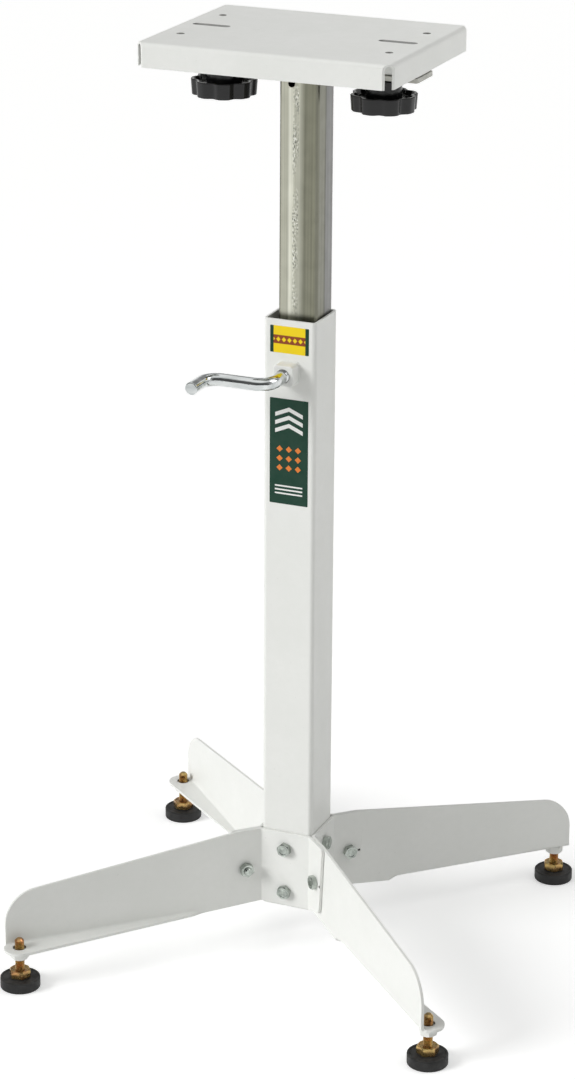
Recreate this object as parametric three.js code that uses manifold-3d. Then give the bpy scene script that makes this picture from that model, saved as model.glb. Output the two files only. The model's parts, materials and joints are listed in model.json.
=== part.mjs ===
// Bench grinder stand: a square column on four lapped sheet legs with levelling feet, a sliding post
// held by a crank screw, and a pressed tool table that two hand knobs clamp to the post's cross bar.
// Millimetres, +Z up. The origin is on the floor under the column's axis, and the crank faces -Y.

import * as THREE from 'three';
import { mergeVertices } from 'three/addons/utils/BufferGeometryUtils.js';
import Module from 'manifold-3d';

const wasm = await Module();
wasm.setup();

// Clearances
const SEAT_GAP = 0.3;
const HOLE_CLEARANCE = 0.45;
const SLIDE_GAP = 0.35;
const CUT_MARGIN = 5;

// Column
const COLUMN_WIDTH = 54;
const COLUMN_WALL = 2.5;
const COLUMN_CORNER = 4.5;
const COLUMN_LENGTH = 618.4;
const COLUMN_RISE = -2.8;

// Post, shown drawn out of the column by its extension
const POST_WIDTH = 40;
const POST_WALL = 2.5;
const POST_CORNER = 4;
const POST_LENGTH = 530;
const POST_EXTENSION = 237;
const POST_HOLE_DIAMETER = 7;
const POST_HOLE_DROP = 11.5;
const POST_HOLE_OFFSET = -7.2;
const POST_SIDE_SHIFT = 3;

// Crank lock: a boss on the column's front, the bent screw and the shoe that it presses on the post
const LOCK_DROP = 51;
const LOCK_NUT_FLATS = 20.6;
const LOCK_NUT_CORNER = 3.5;
const LOCK_NUT_LENGTH = 16;
const SCREW_DIAMETER = 12.7;
const SCREW_HOLE_CLEARANCE = 1;
const CRANK_STANDOFF = 33;
const CRANK_ARM = 63.5;
const CRANK_GRIP = 38;
const CRANK_BEND = 16;
const NOSE_DIAMETER = 8;
const NOSE_SHORTFALL = 0.5;
const SHOE_WIDTH = 30;
const SHOE_HEIGHT = 60;
const SHOE_THICKNESS = 3;

// Labels on the column's front, above and below the lock boss
const LABEL_WIDTH = 40;
const LABEL_THICKNESS = 0.2;
const UPPER_LABEL_HEIGHT = 26.7;
const UPPER_LABEL_GAP = 7.8;
const LOWER_LABEL_HEIGHT = 107;
const LOWER_LABEL_GAP = 17.2;

// Legs, each one bent sheet: flange on the column, blade on the diagonal, lap tab and foot flange
const LEG_COUNT = 4;
const LEG_START_ANGLE = 225;
const LEG_SHEET = 3;
const LEG_BEND = 2.5;
const LEG_HEIGHT = 80.6;
const LEG_TIP_HEIGHT = 52.8;
const LEG_TIP_CORNER = 34;
const LEG_LEVEL_REACH = 66;
const BLADE_SKIRT_START = 42;
const BLADE_SKIRT_END = 105;
const BLADE_SKIRT_DEPTH = 4;
const TAB_TOP_REACH = 73.5;
const TAB_BOTTOM_REACH = 66.5;
const TAB_RISE = 8;
const TAB_CORNER = 4;
const DOT_DIAMETER = 2.6;
const TAB_DOT_SPACING = 9;
const FOOT_FLANGE_START = 104;
const FOOT_FLANGE_START_WIDTH = 7.5;
const FOOT_RADIUS = 300;
const FOOT_OFFSET = 12.7;
const FOOT_LOBE = 15.5;
const FOOT_END_MARGIN = 11;
const FOOT_HOLE_CLEARANCE = 1.75;

// Leg bolts and nuts
const BOLT_DIAMETER = 7.94;
const BOLT_FLATS = 12.7;
const BOLT_HEAD = 5.4;
const NUT_HEIGHT = 6.8;
const COLUMN_BOLT_LENGTH = 19;
const COLUMN_BOLT_LOW_EDGE = 15.2;
const COLUMN_BOLT_HIGH_EDGE = 18;
const TAB_BOLT_LENGTH = 16.5;
const TAB_BOLT_REACH = 57;
const TAB_BOLT_HEIGHT = 38.7;

// Levelling feet
const PAD_DIAMETER = 39.7;
const PAD_HEIGHT = 11;
const PAD_EDGE = 1;
const STUD_DIAMETER = 9.5;
const STUD_TOP_RISE = 10;
const STUD_SHOW = 11.7;
const STUD_SOCKET = 6;
const STUD_CHAMFER = 1.2;
const FOOT_SEAT_FLATS = 19;
const FOOT_SEAT_HEIGHT = 8;
const FOOT_NUT_FLATS = 16;
const FOOT_NUT_HEIGHT = 8;

// Table, its channel and the post's cross bar
const TABLE_WIDTH = 254;
const TABLE_DEPTH = 203.2;
const TABLE_SHEET = 2;
const TABLE_APRON = 23.3;
const TABLE_BEND = 3;
const TABLE_SETBACK = 2.55;
const TABLE_CORNER_CUT = 8.7;
const SLOT_EDGE = 14;
const SLOT_LENGTH = 38;
const SLOT_WIDTH = 8.5;
const TABLE_HOLE_END_EDGE = 23;
const TABLE_HOLE_SIDE_EDGE = 53.6;
const TABLE_HOLE_DIAMETER = 7.5;
const CHANNEL_END_GAP = 5;
const CHANNEL_WIDTH = 40.6;
const CHANNEL_HEIGHT = 26;
const CHANNEL_SHEET = 2.5;
const CHANNEL_BEND = 2;
const BAR_LENGTH = 243.4;
const BAR_WIDTH = 40.6;
const BAR_THICKNESS = 4.8;
const BAR_CORNER = 3;

// Hand knobs
const KNOB_X = 81;
const KNOB_DIAMETER = 63.5;
const KNOB_HEIGHT = 15.4;
const KNOB_LOBES = 8;
const KNOB_GROOVE = 4.5;
const KNOB_GROOVE_SHARPNESS = 3;
const KNOB_STEPS_PER_LOBE = 8;
const HUB_DIAMETER = 33.6;
const HUB_HEIGHT = 14;
const KNOB_STUD_DIAMETER = 9.5;
const KNOB_STUD_SOCKET = 20;
const KNOB_STUD_PROUD = 3;
const KNOB_NUT_FLATS = 14.3;
const KNOB_NUT_HEIGHT = 8.3;
const WASHER_DIAMETER = 25.4;
const WASHER_THICKNESS = 1.6;

// Facets
const ROUND_SIDES = 16;
const ARC_STEPS = 2;
const WIDE_ARC_STEPS = 5;
const LOBE_SIDES = 40;
const CRANK_STEPS = 32;

// Heights worked out from the floor up
const legBottom = PAD_HEIGHT + FOOT_SEAT_HEIGHT + STUD_SHOW + FOOT_NUT_HEIGHT + LEG_SHEET + 2 * SEAT_GAP;
const legTop = legBottom + LEG_HEIGHT;
const columnBottom = legBottom + COLUMN_RISE;
const columnTop = columnBottom + COLUMN_LENGTH;
const postTop = columnTop + POST_EXTENSION;
const lockHeight = columnTop - LOCK_DROP;
const columnBoltHeights = {
  lower: legBottom + COLUMN_BOLT_LOW_EDGE,
  upper: legTop - COLUMN_BOLT_HIGH_EDGE,
};
const columnFace = COLUMN_WIDTH / 2;
const columnBore = COLUMN_WIDTH - 2 * COLUMN_WALL;

// The lock presses the post on the column's back wall, where it sits to the right of the middle
const postShift = (columnBore - POST_WIDTH) / 2 - SLIDE_GAP;
const postFront = postShift - POST_WIDTH / 2;
const shoeBack = postFront - SEAT_GAP;
const shoeFront = shoeBack - SHOE_THICKNESS;

const FINISHES = {
  paint: { color: 0xe8e8e3, roughness: 0.45, metalness: 0 },
  zinc: { color: 0xa3a394, roughness: 0.4, metalness: 0.9 },
  bright: { color: 0xc3c9c8, roughness: 0.3, metalness: 1 },
  chrome: { color: 0xd9dcdc, roughness: 0.12, metalness: 1 },
  yellowZinc: { color: 0xb08a4a, roughness: 0.35, metalness: 0.9 },
  rubber: { color: 0x242424, roughness: 0.8, metalness: 0 },
  plastic: { color: 0x1b1b1c, roughness: 0.45, metalness: 0 },
  labelGreen: { color: 0x1f4a3a, roughness: 0.35, metalness: 0 },
  labelYellow: { color: 0xe8c81c, roughness: 0.35, metalness: 0 },
};

// Axis changes that keep the hand: along x an outline lies in (y, z), along y it lies in (z, x)
const AXES = {
  x: new THREE.Matrix4().set(0, 0, 1, 0, 1, 0, 0, 0, 0, 1, 0, 0, 0, 0, 0, 1),
  y: new THREE.Matrix4().set(0, 1, 0, 0, 0, 0, 1, 0, 1, 0, 0, 0, 0, 0, 0, 1),
  z: new THREE.Matrix4(),
};

// Solids for joining and cutting

function solidOf(geometry) {
  const flat = geometry.index ? geometry.toNonIndexed() : geometry;
  const bare = new THREE.BufferGeometry();
  bare.setAttribute('position', flat.getAttribute('position'));
  const merged = mergeVertices(bare);
  const corners = merged.index.array;
  const triVerts = [];
  for (let i = 0; i < corners.length; i += 3) {
    const [a, b, c] = corners.subarray(i, i + 3);
    if (a !== b && b !== c && c !== a) {
      triVerts.push(a, b, c);
    }
  }
  const vertProperties = merged.getAttribute('position').array;
  const closed = new wasm.Mesh({ numProp: 3, vertProperties, triVerts: Uint32Array.from(triVerts) });
  return new wasm.Manifold(closed);
}

function geometryOf(solid) {
  const { vertProperties, triVerts } = solid.getMesh();
  const indexed = new THREE.BufferGeometry();
  indexed.setAttribute('position', new THREE.BufferAttribute(Float32Array.from(vertProperties), 3));
  indexed.setIndex(new THREE.BufferAttribute(Uint32Array.from(triVerts), 1));
  const geometry = indexed.toNonIndexed();
  geometry.computeVertexNormals();
  return geometry;
}

function combine(operation, [first, ...others]) {
  const start = solidOf(first);
  return geometryOf(others.reduce((solid, next) => solid[operation](solidOf(next)), start));
}

const join = (...pieces) => combine('add', pieces);
const cut = (...pieces) => combine('subtract', pieces);
const common = (...pieces) => combine('intersect', pieces);

// Outlines

// A closed outline through [u, v, radius] corners, each rounded by its radius.
function outline(corners) {
  const shape = new THREE.Shape();
  corners.forEach(([u, v, radius = 0], i) => {
    const corner = new THREE.Vector2(u, v);
    const [lastU, lastV] = corners.at(i - 1);
    const [nextU, nextV] = corners[(i + 1) % corners.length];
    const back = new THREE.Vector2(lastU, lastV).sub(corner).normalize();
    const ahead = new THREE.Vector2(nextU, nextV).sub(corner).normalize();
    const half = back.angleTo(ahead) / 2;
    const reach = radius / Math.tan(half);
    const start = corner.clone().addScaledVector(back, reach);
    const end = corner.clone().addScaledVector(ahead, reach);
    if (i === 0) {
      shape.moveTo(start.x, start.y);
    } else {
      shape.lineTo(start.x, start.y);
    }
    if (radius > 0) {
      const inward = back.clone().add(ahead).normalize();
      const centre = corner.clone().addScaledVector(inward, radius / Math.sin(half));
      const from = start.sub(centre).angle();
      const to = end.sub(centre).angle();
      shape.absarc(centre.x, centre.y, radius, from, to, back.cross(ahead) > 0);
    }
  });
  shape.closePath();
  return shape;
}

// A sheet's cross-section along a bent path, with the bend's radius on its inner side.
function strip(path, thickness, innerRadius) {
  const points = path.map(([u, v]) => new THREE.Vector2(u, v));
  const left = [];
  const right = [];
  points.forEach((point, i) => {
    const first = Math.max(i - 1, 0);
    const last = Math.min(i + 1, points.length - 1);
    const into = points[first + 1].clone().sub(points[first]).normalize();
    const out = points[last].clone().sub(points[last - 1]).normalize();
    const mitre = thickness / 2 / (1 + into.dot(out));
    const across = new THREE.Vector2(-into.y - out.y, into.x + out.x).multiplyScalar(mitre);
    const turn = Math.sign(Math.round(into.cross(out) * 1e6));
    const outerRadius = innerRadius + thickness;
    const leftRadius = turn > 0 ? innerRadius : outerRadius;
    const rightRadius = turn > 0 ? outerRadius : innerRadius;
    left.push([point.x + across.x, point.y + across.y, turn ? leftRadius : 0]);
    right.unshift([point.x - across.x, point.y - across.y, turn ? rightRadius : 0]);
  });
  return outline([...left, ...right]);
}

function rectangle(width, height, radius = 0) {
  const u = width / 2;
  const v = height / 2;
  return outline([[-u, -v, radius], [u, -v, radius], [u, v, radius], [-u, v, radius]]);
}

function polygon(radius, sides) {
  const step = (2 * Math.PI) / sides;
  const corner = (i) => [radius * Math.cos(i * step), radius * Math.sin(i * step)];
  return outline(Array.from({ length: sides }, (_, i) => corner(i)));
}

const hexagon = (flats) => polygon(flats / Math.sqrt(3), 6);

// Shapes

function prism(shape, axis, from, to, curveSegments = ARC_STEPS) {
  const geometry = new THREE.ExtrudeGeometry(shape, {
    depth: to - from,
    bevelEnabled: false,
    curveSegments,
  });
  return geometry.translate(0, 0, from).applyMatrix4(AXES[axis]);
}

function rod(diameter, axis, from, to, sides = ROUND_SIDES) {
  return prism(polygon(diameter / 2, sides), axis, from, to);
}

// A round hole's cutter: its corners stand off the shank by the clearance.
function bore(diameter, axis, from, to) {
  return rod(diameter + 2 * HOLE_CLEARANCE, axis, from, to);
}

// A solid of revolution about z through [radius, height] points, from its foot up.
function turned(profile) {
  const points = profile.map(([radius, height]) => new THREE.Vector2(radius, height));
  return new THREE.LatheGeometry(points, ROUND_SIDES).applyMatrix4(AXES.x);
}

// A bolt along x with its head's seat at x = 0.
function bolt(length) {
  const head = prism(hexagon(BOLT_FLATS), 'x', 0, BOLT_HEAD);
  return join(head, rod(BOLT_DIAMETER, 'x', -length, BOLT_HEAD / 2));
}

function hexNut(flats, height, hole, axis) {
  const body = prism(hexagon(flats), axis, 0, height);
  return cut(body, bore(hole, axis, -CUT_MARGIN, height + CUT_MARGIN));
}

function squareNut(flats, corner, height, hole, axis) {
  const body = prism(rectangle(flats, flats, corner), axis, 0, height);
  return cut(body, bore(hole, axis, -CUT_MARGIN, height + CUT_MARGIN));
}

const legNut = () => hexNut(BOLT_FLATS, NUT_HEIGHT, BOLT_DIAMETER, 'x');
const footNut = () => hexNut(FOOT_NUT_FLATS, FOOT_NUT_HEIGHT, STUD_DIAMETER, 'z');

function mesh(name, geometry, finish) {
  const made = new THREE.Mesh(geometry, new THREE.MeshStandardMaterial(FINISHES[finish]));
  made.name = name;
  return made;
}

function placed(object, x, y, z, turnZ = 0) {
  object.position.set(x, y, z);
  object.rotation.z = turnZ;
  return object;
}

// Column, lock boss and labels

function makeColumn() {
  const outside = rectangle(COLUMN_WIDTH, COLUMN_WIDTH, COLUMN_CORNER);
  const inside = rectangle(columnBore, columnBore, Math.max(COLUMN_CORNER - COLUMN_WALL, COLUMN_WALL / 2));
  const boltHoles = Object.values(columnBoltHeights).flatMap((height) => ['x', 'y'].map((axis) => (
    bore(BOLT_DIAMETER, axis, -COLUMN_WIDTH, COLUMN_WIDTH).translate(0, 0, height)
  )));
  const screwHole = rod(SCREW_DIAMETER + 2 * SCREW_HOLE_CLEARANCE, 'y', -COLUMN_WIDTH, 0);
  return cut(
    prism(outside, 'z', columnBottom, columnTop),
    prism(inside, 'z', columnBottom - CUT_MARGIN, columnTop + CUT_MARGIN),
    screwHole.translate(0, 0, lockHeight),
    ...boltHoles,
  );
}

function makeLabel(height, foot) {
  const sheet = rectangle(height, LABEL_WIDTH);
  return prism(sheet, 'y', -columnFace - LABEL_THICKNESS, -columnFace).translate(0, 0, foot + height / 2);
}

function makeColumnGroup() {
  const group = new THREE.Group();
  const boss = squareNut(LOCK_NUT_FLATS, LOCK_NUT_CORNER, LOCK_NUT_LENGTH, SCREW_DIAMETER, 'y');
  const upperFoot = lockHeight + LOCK_NUT_FLATS / 2 + UPPER_LABEL_GAP;
  const lowerFoot = lockHeight - LOCK_NUT_FLATS / 2 - LOWER_LABEL_GAP - LOWER_LABEL_HEIGHT;
  group.add(
    mesh('column', makeColumn(), 'paint'),
    placed(mesh('lock_nut', boss, 'paint'), 0, -columnFace - LOCK_NUT_LENGTH, lockHeight),
    mesh('label_upper', makeLabel(UPPER_LABEL_HEIGHT, upperFoot), 'labelYellow'),
    mesh('label_lower', makeLabel(LOWER_LABEL_HEIGHT, lowerFoot), 'labelGreen'),
  );
  return group;
}

// Crank lock

function makeCrank() {
  const shoulder = shoeFront - SEAT_GAP;
  const armPlane = -columnFace - LOCK_NUT_LENGTH - CRANK_STANDOFF;
  const gripEnd = armPlane - CRANK_GRIP;
  const place = (x, y) => new THREE.Vector3(x, y, 0);
  const path = new THREE.CurvePath();
  path.add(new THREE.LineCurve3(place(0, shoulder), place(0, armPlane + CRANK_BEND)));
  path.add(new THREE.QuadraticBezierCurve3(
    place(0, armPlane + CRANK_BEND),
    place(0, armPlane),
    place(-CRANK_BEND, armPlane),
  ));
  path.add(new THREE.LineCurve3(place(-CRANK_BEND, armPlane), place(CRANK_BEND - CRANK_ARM, armPlane)));
  path.add(new THREE.QuadraticBezierCurve3(
    place(CRANK_BEND - CRANK_ARM, armPlane),
    place(-CRANK_ARM, armPlane),
    place(-CRANK_ARM, armPlane - CRANK_BEND),
  ));
  path.add(new THREE.LineCurve3(place(-CRANK_ARM, armPlane - CRANK_BEND), place(-CRANK_ARM, gripEnd)));
  const bar = new THREE.ExtrudeGeometry(polygon(SCREW_DIAMETER / 2, ROUND_SIDES), {
    steps: CRANK_STEPS,
    extrudePath: path,
  });
  const nose = rod(NOSE_DIAMETER, 'y', shoulder - CUT_MARGIN, shoeBack - NOSE_SHORTFALL);
  return join(bar, nose);
}

function makeShoe() {
  const plate = prism(rectangle(SHOE_HEIGHT, SHOE_WIDTH), 'y', shoeFront, shoeBack);
  return cut(plate, bore(NOSE_DIAMETER, 'y', shoeFront - CUT_MARGIN, shoeBack + CUT_MARGIN));
}

function makeLockGroup() {
  const group = new THREE.Group();
  group.add(mesh('lock_shoe', makeShoe(), 'zinc'), mesh('crank', makeCrank(), 'chrome'));
  return placed(group, 0, 0, lockHeight);
}

// Legs. In a leg's own frame x runs out along its blade and y towards its foot flange.

const legReach = FOOT_RADIUS + FOOT_END_MARGIN;
const bladeMid = (SEAT_GAP + LEG_SHEET) / 2;
const bladeOuter = SEAT_GAP / 2 + LEG_SHEET;
const flangeDistance = columnFace + SEAT_GAP + LEG_SHEET / 2;
const rootCorner = flangeDistance * Math.SQRT2 - bladeMid;

// The sheet seen from above: tab, flange across the column's face, then the blade.
function legPlan() {
  const path = [
    [bladeMid, TAB_TOP_REACH],
    [bladeMid, rootCorner],
    [rootCorner, bladeMid],
    [legReach, bladeMid],
  ];
  return strip(path, LEG_SHEET, LEG_BEND);
}

// The blade's side outline in (z, x): level by the column, sloping to a round tip, with an unbent skirt.
function legSide() {
  const relief = legBottom + LEG_BEND + LEG_SHEET;
  const skirt = legBottom - BLADE_SKIRT_DEPTH;
  return outline([
    [legBottom, -CUT_MARGIN],
    [legBottom, BLADE_SKIRT_START],
    [skirt, BLADE_SKIRT_END - BLADE_SKIRT_DEPTH],
    [skirt, BLADE_SKIRT_END],
    [relief, BLADE_SKIRT_END],
    [relief, legReach],
    [legBottom + LEG_TIP_HEIGHT, legReach, LEG_TIP_CORNER],
    [legTop, LEG_LEVEL_REACH],
    [legTop, -CUT_MARGIN],
  ]);
}

// What the tab's trimmed end leaves, in (y, z). Everything nearer the column is left whole.
function tabKeep() {
  const low = legBottom - 4 * CUT_MARGIN;
  const high = legTop + CUT_MARGIN;
  return outline([
    [-CUT_MARGIN, low],
    [rootCorner, low],
    [rootCorner, legBottom],
    [TAB_BOTTOM_REACH, legBottom + TAB_RISE, TAB_CORNER],
    [TAB_TOP_REACH, legTop, TAB_CORNER],
    [rootCorner, legTop],
    [rootCorner, high],
    [-CUT_MARGIN, high],
  ]);
}

// The foot flange: the sheet folded out at the blade's foot, tapered in plan, with a lobe round the stud.
function footFlange() {
  const level = legBottom - LEG_SHEET / 2;
  const foldTop = legBottom + 2 * (LEG_BEND + LEG_SHEET);
  const spread = FOOT_OFFSET + 2 * FOOT_LOBE;
  const bendEnd = bladeOuter + LEG_BEND;
  const lobeEnd = FOOT_RADIUS + Math.sqrt(FOOT_LOBE ** 2 - (FOOT_OFFSET - bendEnd) ** 2);
  const section = strip([[bladeMid, foldTop], [bladeMid, level], [spread, level]], LEG_SHEET, LEG_BEND);
  const run = FOOT_RADIUS - FOOT_FLANGE_START;
  const rise = FOOT_OFFSET - FOOT_FLANGE_START_WIDTH;
  const taper = Math.atan2(rise, run) + Math.asin(FOOT_LOBE / Math.hypot(run, rise));
  const tangent = taper + Math.PI / 2;
  const plan = outline([
    [FOOT_FLANGE_START, -CUT_MARGIN],
    [FOOT_FLANGE_START, FOOT_FLANGE_START_WIDTH],
    [FOOT_RADIUS + FOOT_LOBE * Math.cos(tangent), FOOT_OFFSET + FOOT_LOBE * Math.sin(tangent)],
    [FOOT_RADIUS, FOOT_OFFSET],
    [lobeEnd, bendEnd],
    [legReach, bladeOuter],
    [legReach, -CUT_MARGIN],
  ]);
  const fold = common(
    prism(section, 'x', FOOT_FLANGE_START, lobeEnd),
    prism(plan, 'z', legBottom - LEG_SHEET - CUT_MARGIN, foldTop + CUT_MARGIN),
  );
  const disc = rod(2 * FOOT_LOBE, 'z', legBottom - LEG_SHEET, legBottom, LOBE_SIDES).rotateZ(tangent);
  const bendSide = prism(rectangle(3 * FOOT_LOBE, 2 * bendEnd), 'z', level - LEG_SHEET, level + LEG_SHEET);
  const lobe = cut(disc.translate(FOOT_RADIUS, FOOT_OFFSET, 0), bendSide.translate(FOOT_RADIUS, 0, 0));
  return join(fold, lobe);
}

function makeLeg() {
  const upright = common(
    prism(legPlan(), 'z', legBottom - 2 * CUT_MARGIN, legTop),
    prism(legSide(), 'y', -legReach, legReach, WIDE_ARC_STEPS),
    prism(tabKeep(), 'x', -CUT_MARGIN, legReach + CUT_MARGIN),
  );
  const tabHeight = legBottom + TAB_BOLT_HEIGHT;
  const flangeHoles = Object.values(columnBoltHeights).map((height) => (
    bore(BOLT_DIAMETER, 'x', columnFace - CUT_MARGIN, flangeDistance + CUT_MARGIN)
      .rotateZ(Math.PI / 4)
      .translate(0, 0, height)
  ));
  const tabHole = bore(BOLT_DIAMETER, 'x', -CUT_MARGIN, bladeOuter + CUT_MARGIN);
  const tabDot = rod(DOT_DIAMETER, 'x', -CUT_MARGIN, bladeOuter + CUT_MARGIN, ROUND_SIDES / 2);
  const bladeHole = bore(BOLT_DIAMETER, 'y', -CUT_MARGIN, bladeOuter + CUT_MARGIN);
  const studHoleDiameter = STUD_DIAMETER + 2 * FOOT_HOLE_CLEARANCE;
  const studHole = rod(studHoleDiameter, 'z', legBottom - LEG_SHEET - CUT_MARGIN, legBottom + CUT_MARGIN);
  return cut(
    join(upright, footFlange()),
    ...flangeHoles,
    tabHole.translate(0, TAB_BOLT_REACH, tabHeight),
    tabDot.translate(0, TAB_BOLT_REACH + TAB_DOT_SPACING, tabHeight),
    bladeHole.translate(TAB_BOLT_REACH, 0, tabHeight),
    studHole.translate(FOOT_RADIUS, FOOT_OFFSET, 0),
  );
}

function makePad() {
  const radius = PAD_DIAMETER / 2;
  const socket = STUD_DIAMETER / 2 + HOLE_CLEARANCE;
  return turned([
    [0, 0],
    [radius - PAD_EDGE, 0],
    [radius, PAD_EDGE],
    [radius, PAD_HEIGHT - PAD_EDGE],
    [radius - PAD_EDGE, PAD_HEIGHT],
    [socket, PAD_HEIGHT],
    [socket, PAD_HEIGHT - STUD_SOCKET - SEAT_GAP],
    [0, PAD_HEIGHT - STUD_SOCKET - SEAT_GAP],
  ]);
}

function makeStud() {
  const radius = STUD_DIAMETER / 2;
  const seat = PAD_HEIGHT + SEAT_GAP;
  const top = legBottom + STUD_TOP_RISE;
  const shank = turned([
    [0, PAD_HEIGHT - STUD_SOCKET],
    [radius, PAD_HEIGHT - STUD_SOCKET],
    [radius, top - STUD_CHAMFER],
    [radius - STUD_CHAMFER, top],
    [0, top],
  ]);
  return join(shank, prism(hexagon(FOOT_SEAT_FLATS), 'z', seat, seat + FOOT_SEAT_HEIGHT));
}

function makeLegGroup(number) {
  const group = new THREE.Group();
  group.rotation.z = THREE.MathUtils.degToRad(LEG_START_ANGLE) + ((number - 1) * 2 * Math.PI) / LEG_COUNT;
  group.add(mesh(`leg_${number}`, makeLeg(), 'paint'));

  const boltSeat = (flangeDistance + LEG_SHEET / 2 + SEAT_GAP) * Math.SQRT1_2;
  const nutSeat = (columnFace - COLUMN_WALL - SEAT_GAP - NUT_HEIGHT) * Math.SQRT1_2;
  Object.entries(columnBoltHeights).forEach(([level, height]) => {
    const screw = mesh(`column_bolt_${number}_${level}`, bolt(COLUMN_BOLT_LENGTH), 'bright');
    const nut = mesh(`column_nut_${number}_${level}`, legNut(), 'bright');
    group.add(placed(screw, boltSeat, boltSeat, height, Math.PI / 4));
    group.add(placed(nut, nutSeat, nutSeat, height, Math.PI / 4));
  });

  const tabHeight = legBottom + TAB_BOLT_HEIGHT;
  const tabBolt = mesh(`tab_bolt_${number}`, bolt(TAB_BOLT_LENGTH), 'bright');
  const tabNut = mesh(`tab_nut_${number}`, legNut(), 'bright');
  group.add(placed(tabBolt, bladeOuter + SEAT_GAP, TAB_BOLT_REACH, tabHeight));
  group.add(placed(tabNut, -bladeOuter - SEAT_GAP - NUT_HEIGHT, TAB_BOLT_REACH, tabHeight));

  const footNutFoot = legBottom - LEG_SHEET - SEAT_GAP - FOOT_NUT_HEIGHT;
  group.add(placed(mesh(`foot_nut_${number}`, footNut(), 'paint'), FOOT_RADIUS, FOOT_OFFSET, footNutFoot));
  group.add(placed(mesh(`foot_stud_${number}`, makeStud(), 'yellowZinc'), FOOT_RADIUS, FOOT_OFFSET, 0));
  group.add(placed(mesh(`foot_pad_${number}`, makePad(), 'rubber'), FOOT_RADIUS, FOOT_OFFSET, 0));
  return group;
}

// Lifting parts, in a frame under the table's middle, level with the post's top

const barTop = BAR_THICKNESS;
const tableTop = barTop + CHANNEL_HEIGHT + TABLE_SHEET;
const channelLength = TABLE_WIDTH - 2 * (TABLE_SHEET + CHANNEL_END_GAP);

function makePost() {
  const outside = rectangle(POST_WIDTH, POST_WIDTH, POST_CORNER);
  const inner = POST_WIDTH - 2 * POST_WALL;
  const inside = rectangle(inner, inner, Math.max(POST_CORNER - POST_WALL, POST_WALL / 2));
  const hole = rod(POST_HOLE_DIAMETER, 'y', -POST_WIDTH, 0);
  return cut(
    prism(outside, 'z', -POST_LENGTH, 0),
    prism(inside, 'z', -POST_LENGTH - CUT_MARGIN, CUT_MARGIN),
    hole.translate(POST_HOLE_OFFSET, 0, -POST_HOLE_DROP),
  );
}

function knobStudHoles(from, to) {
  return [-KNOB_X, KNOB_X].map((x) => bore(KNOB_STUD_DIAMETER, 'z', from, to).translate(x, 0, 0));
}

function makeBar() {
  const flat = prism(rectangle(BAR_LENGTH, BAR_WIDTH, BAR_CORNER), 'z', 0, barTop);
  return cut(flat, ...knobStudHoles(-CUT_MARGIN, barTop + CUT_MARGIN));
}

function makeChannel() {
  const side = (CHANNEL_WIDTH - CHANNEL_SHEET) / 2;
  const floor = barTop + CHANNEL_SHEET / 2;
  const top = barTop + CHANNEL_HEIGHT;
  const path = [[-side, top], [-side, floor], [side, floor], [side, top]];
  const section = strip(path, CHANNEL_SHEET, CHANNEL_BEND);
  const body = prism(section, 'x', -channelLength / 2, channelLength / 2);
  return cut(body, ...knobStudHoles(barTop - CUT_MARGIN, barTop + CHANNEL_SHEET + CHANNEL_BEND));
}

// A box with its top edges rounded, made from the two side views that cross in it.
function roundTopBox(width, depth, low, high, radius) {
  const x = width / 2;
  const y = depth / 2;
  const across = outline([[low, -x], [low, x], [high, x, radius], [high, -x, radius]]);
  const along = outline([[-y, low], [y, low], [y, high, radius], [-y, high, radius]]);
  return common(prism(across, 'y', -y, y), prism(along, 'x', -x, x));
}

function makeTable() {
  const low = tableTop - TABLE_APRON;
  const under = tableTop - TABLE_SHEET;
  const shell = roundTopBox(TABLE_WIDTH, TABLE_DEPTH, low, tableTop, TABLE_BEND + TABLE_SHEET);
  const hollowWidth = TABLE_WIDTH - 2 * TABLE_SHEET;
  const hollowDepth = TABLE_DEPTH - 2 * TABLE_SHEET;
  const hollow = roundTopBox(hollowWidth, hollowDepth, low - CUT_MARGIN, under, TABLE_BEND);
  const slotX = TABLE_WIDTH / 2 - SLOT_EDGE - SLOT_LENGTH / 2;
  const holeX = TABLE_WIDTH / 2 - TABLE_HOLE_END_EDGE;
  const holeY = TABLE_DEPTH / 2 - TABLE_HOLE_SIDE_EDGE;
  const cornerWidth = TABLE_CORNER_CUT * Math.SQRT2;
  const cutters = [];
  for (const sideX of [-1, 1]) {
    const slot = rectangle(SLOT_LENGTH, SLOT_WIDTH, SLOT_WIDTH / 2 - HOLE_CLEARANCE);
    const slotCutter = prism(slot, 'z', under - CUT_MARGIN, tableTop + CUT_MARGIN);
    cutters.push(slotCutter.translate(sideX * slotX, 0, 0));
    for (const sideY of [-1, 1]) {
      const hole = rod(TABLE_HOLE_DIAMETER, 'z', under - CUT_MARGIN, tableTop + CUT_MARGIN);
      const notch = prism(rectangle(cornerWidth, cornerWidth), 'z', low - CUT_MARGIN, tableTop + CUT_MARGIN)
        .rotateZ(Math.PI / 4);
      cutters.push(hole.translate(sideX * holeX, sideY * holeY, 0));
      cutters.push(notch.translate((sideX * TABLE_WIDTH) / 2, (sideY * TABLE_DEPTH) / 2, 0));
    }
  }
  return cut(shell, hollow, ...cutters);
}

function lobedOutline() {
  const sides = KNOB_LOBES * KNOB_STEPS_PER_LOBE;
  const corner = (i) => {
    const angle = (i / sides) * 2 * Math.PI;
    const dip = ((1 + Math.cos(KNOB_LOBES * angle)) / 2) ** KNOB_GROOVE_SHARPNESS;
    const radius = KNOB_DIAMETER / 2 - KNOB_GROOVE * dip;
    return [radius * Math.cos(angle), radius * Math.sin(angle)];
  };
  return outline(Array.from({ length: sides }, (_, i) => corner(i)));
}

const hubTop = -WASHER_THICKNESS - 2 * SEAT_GAP;
const studFoot = hubTop - KNOB_STUD_SOCKET;
const knobNutFoot = barTop + CHANNEL_SHEET + SEAT_GAP;

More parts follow.
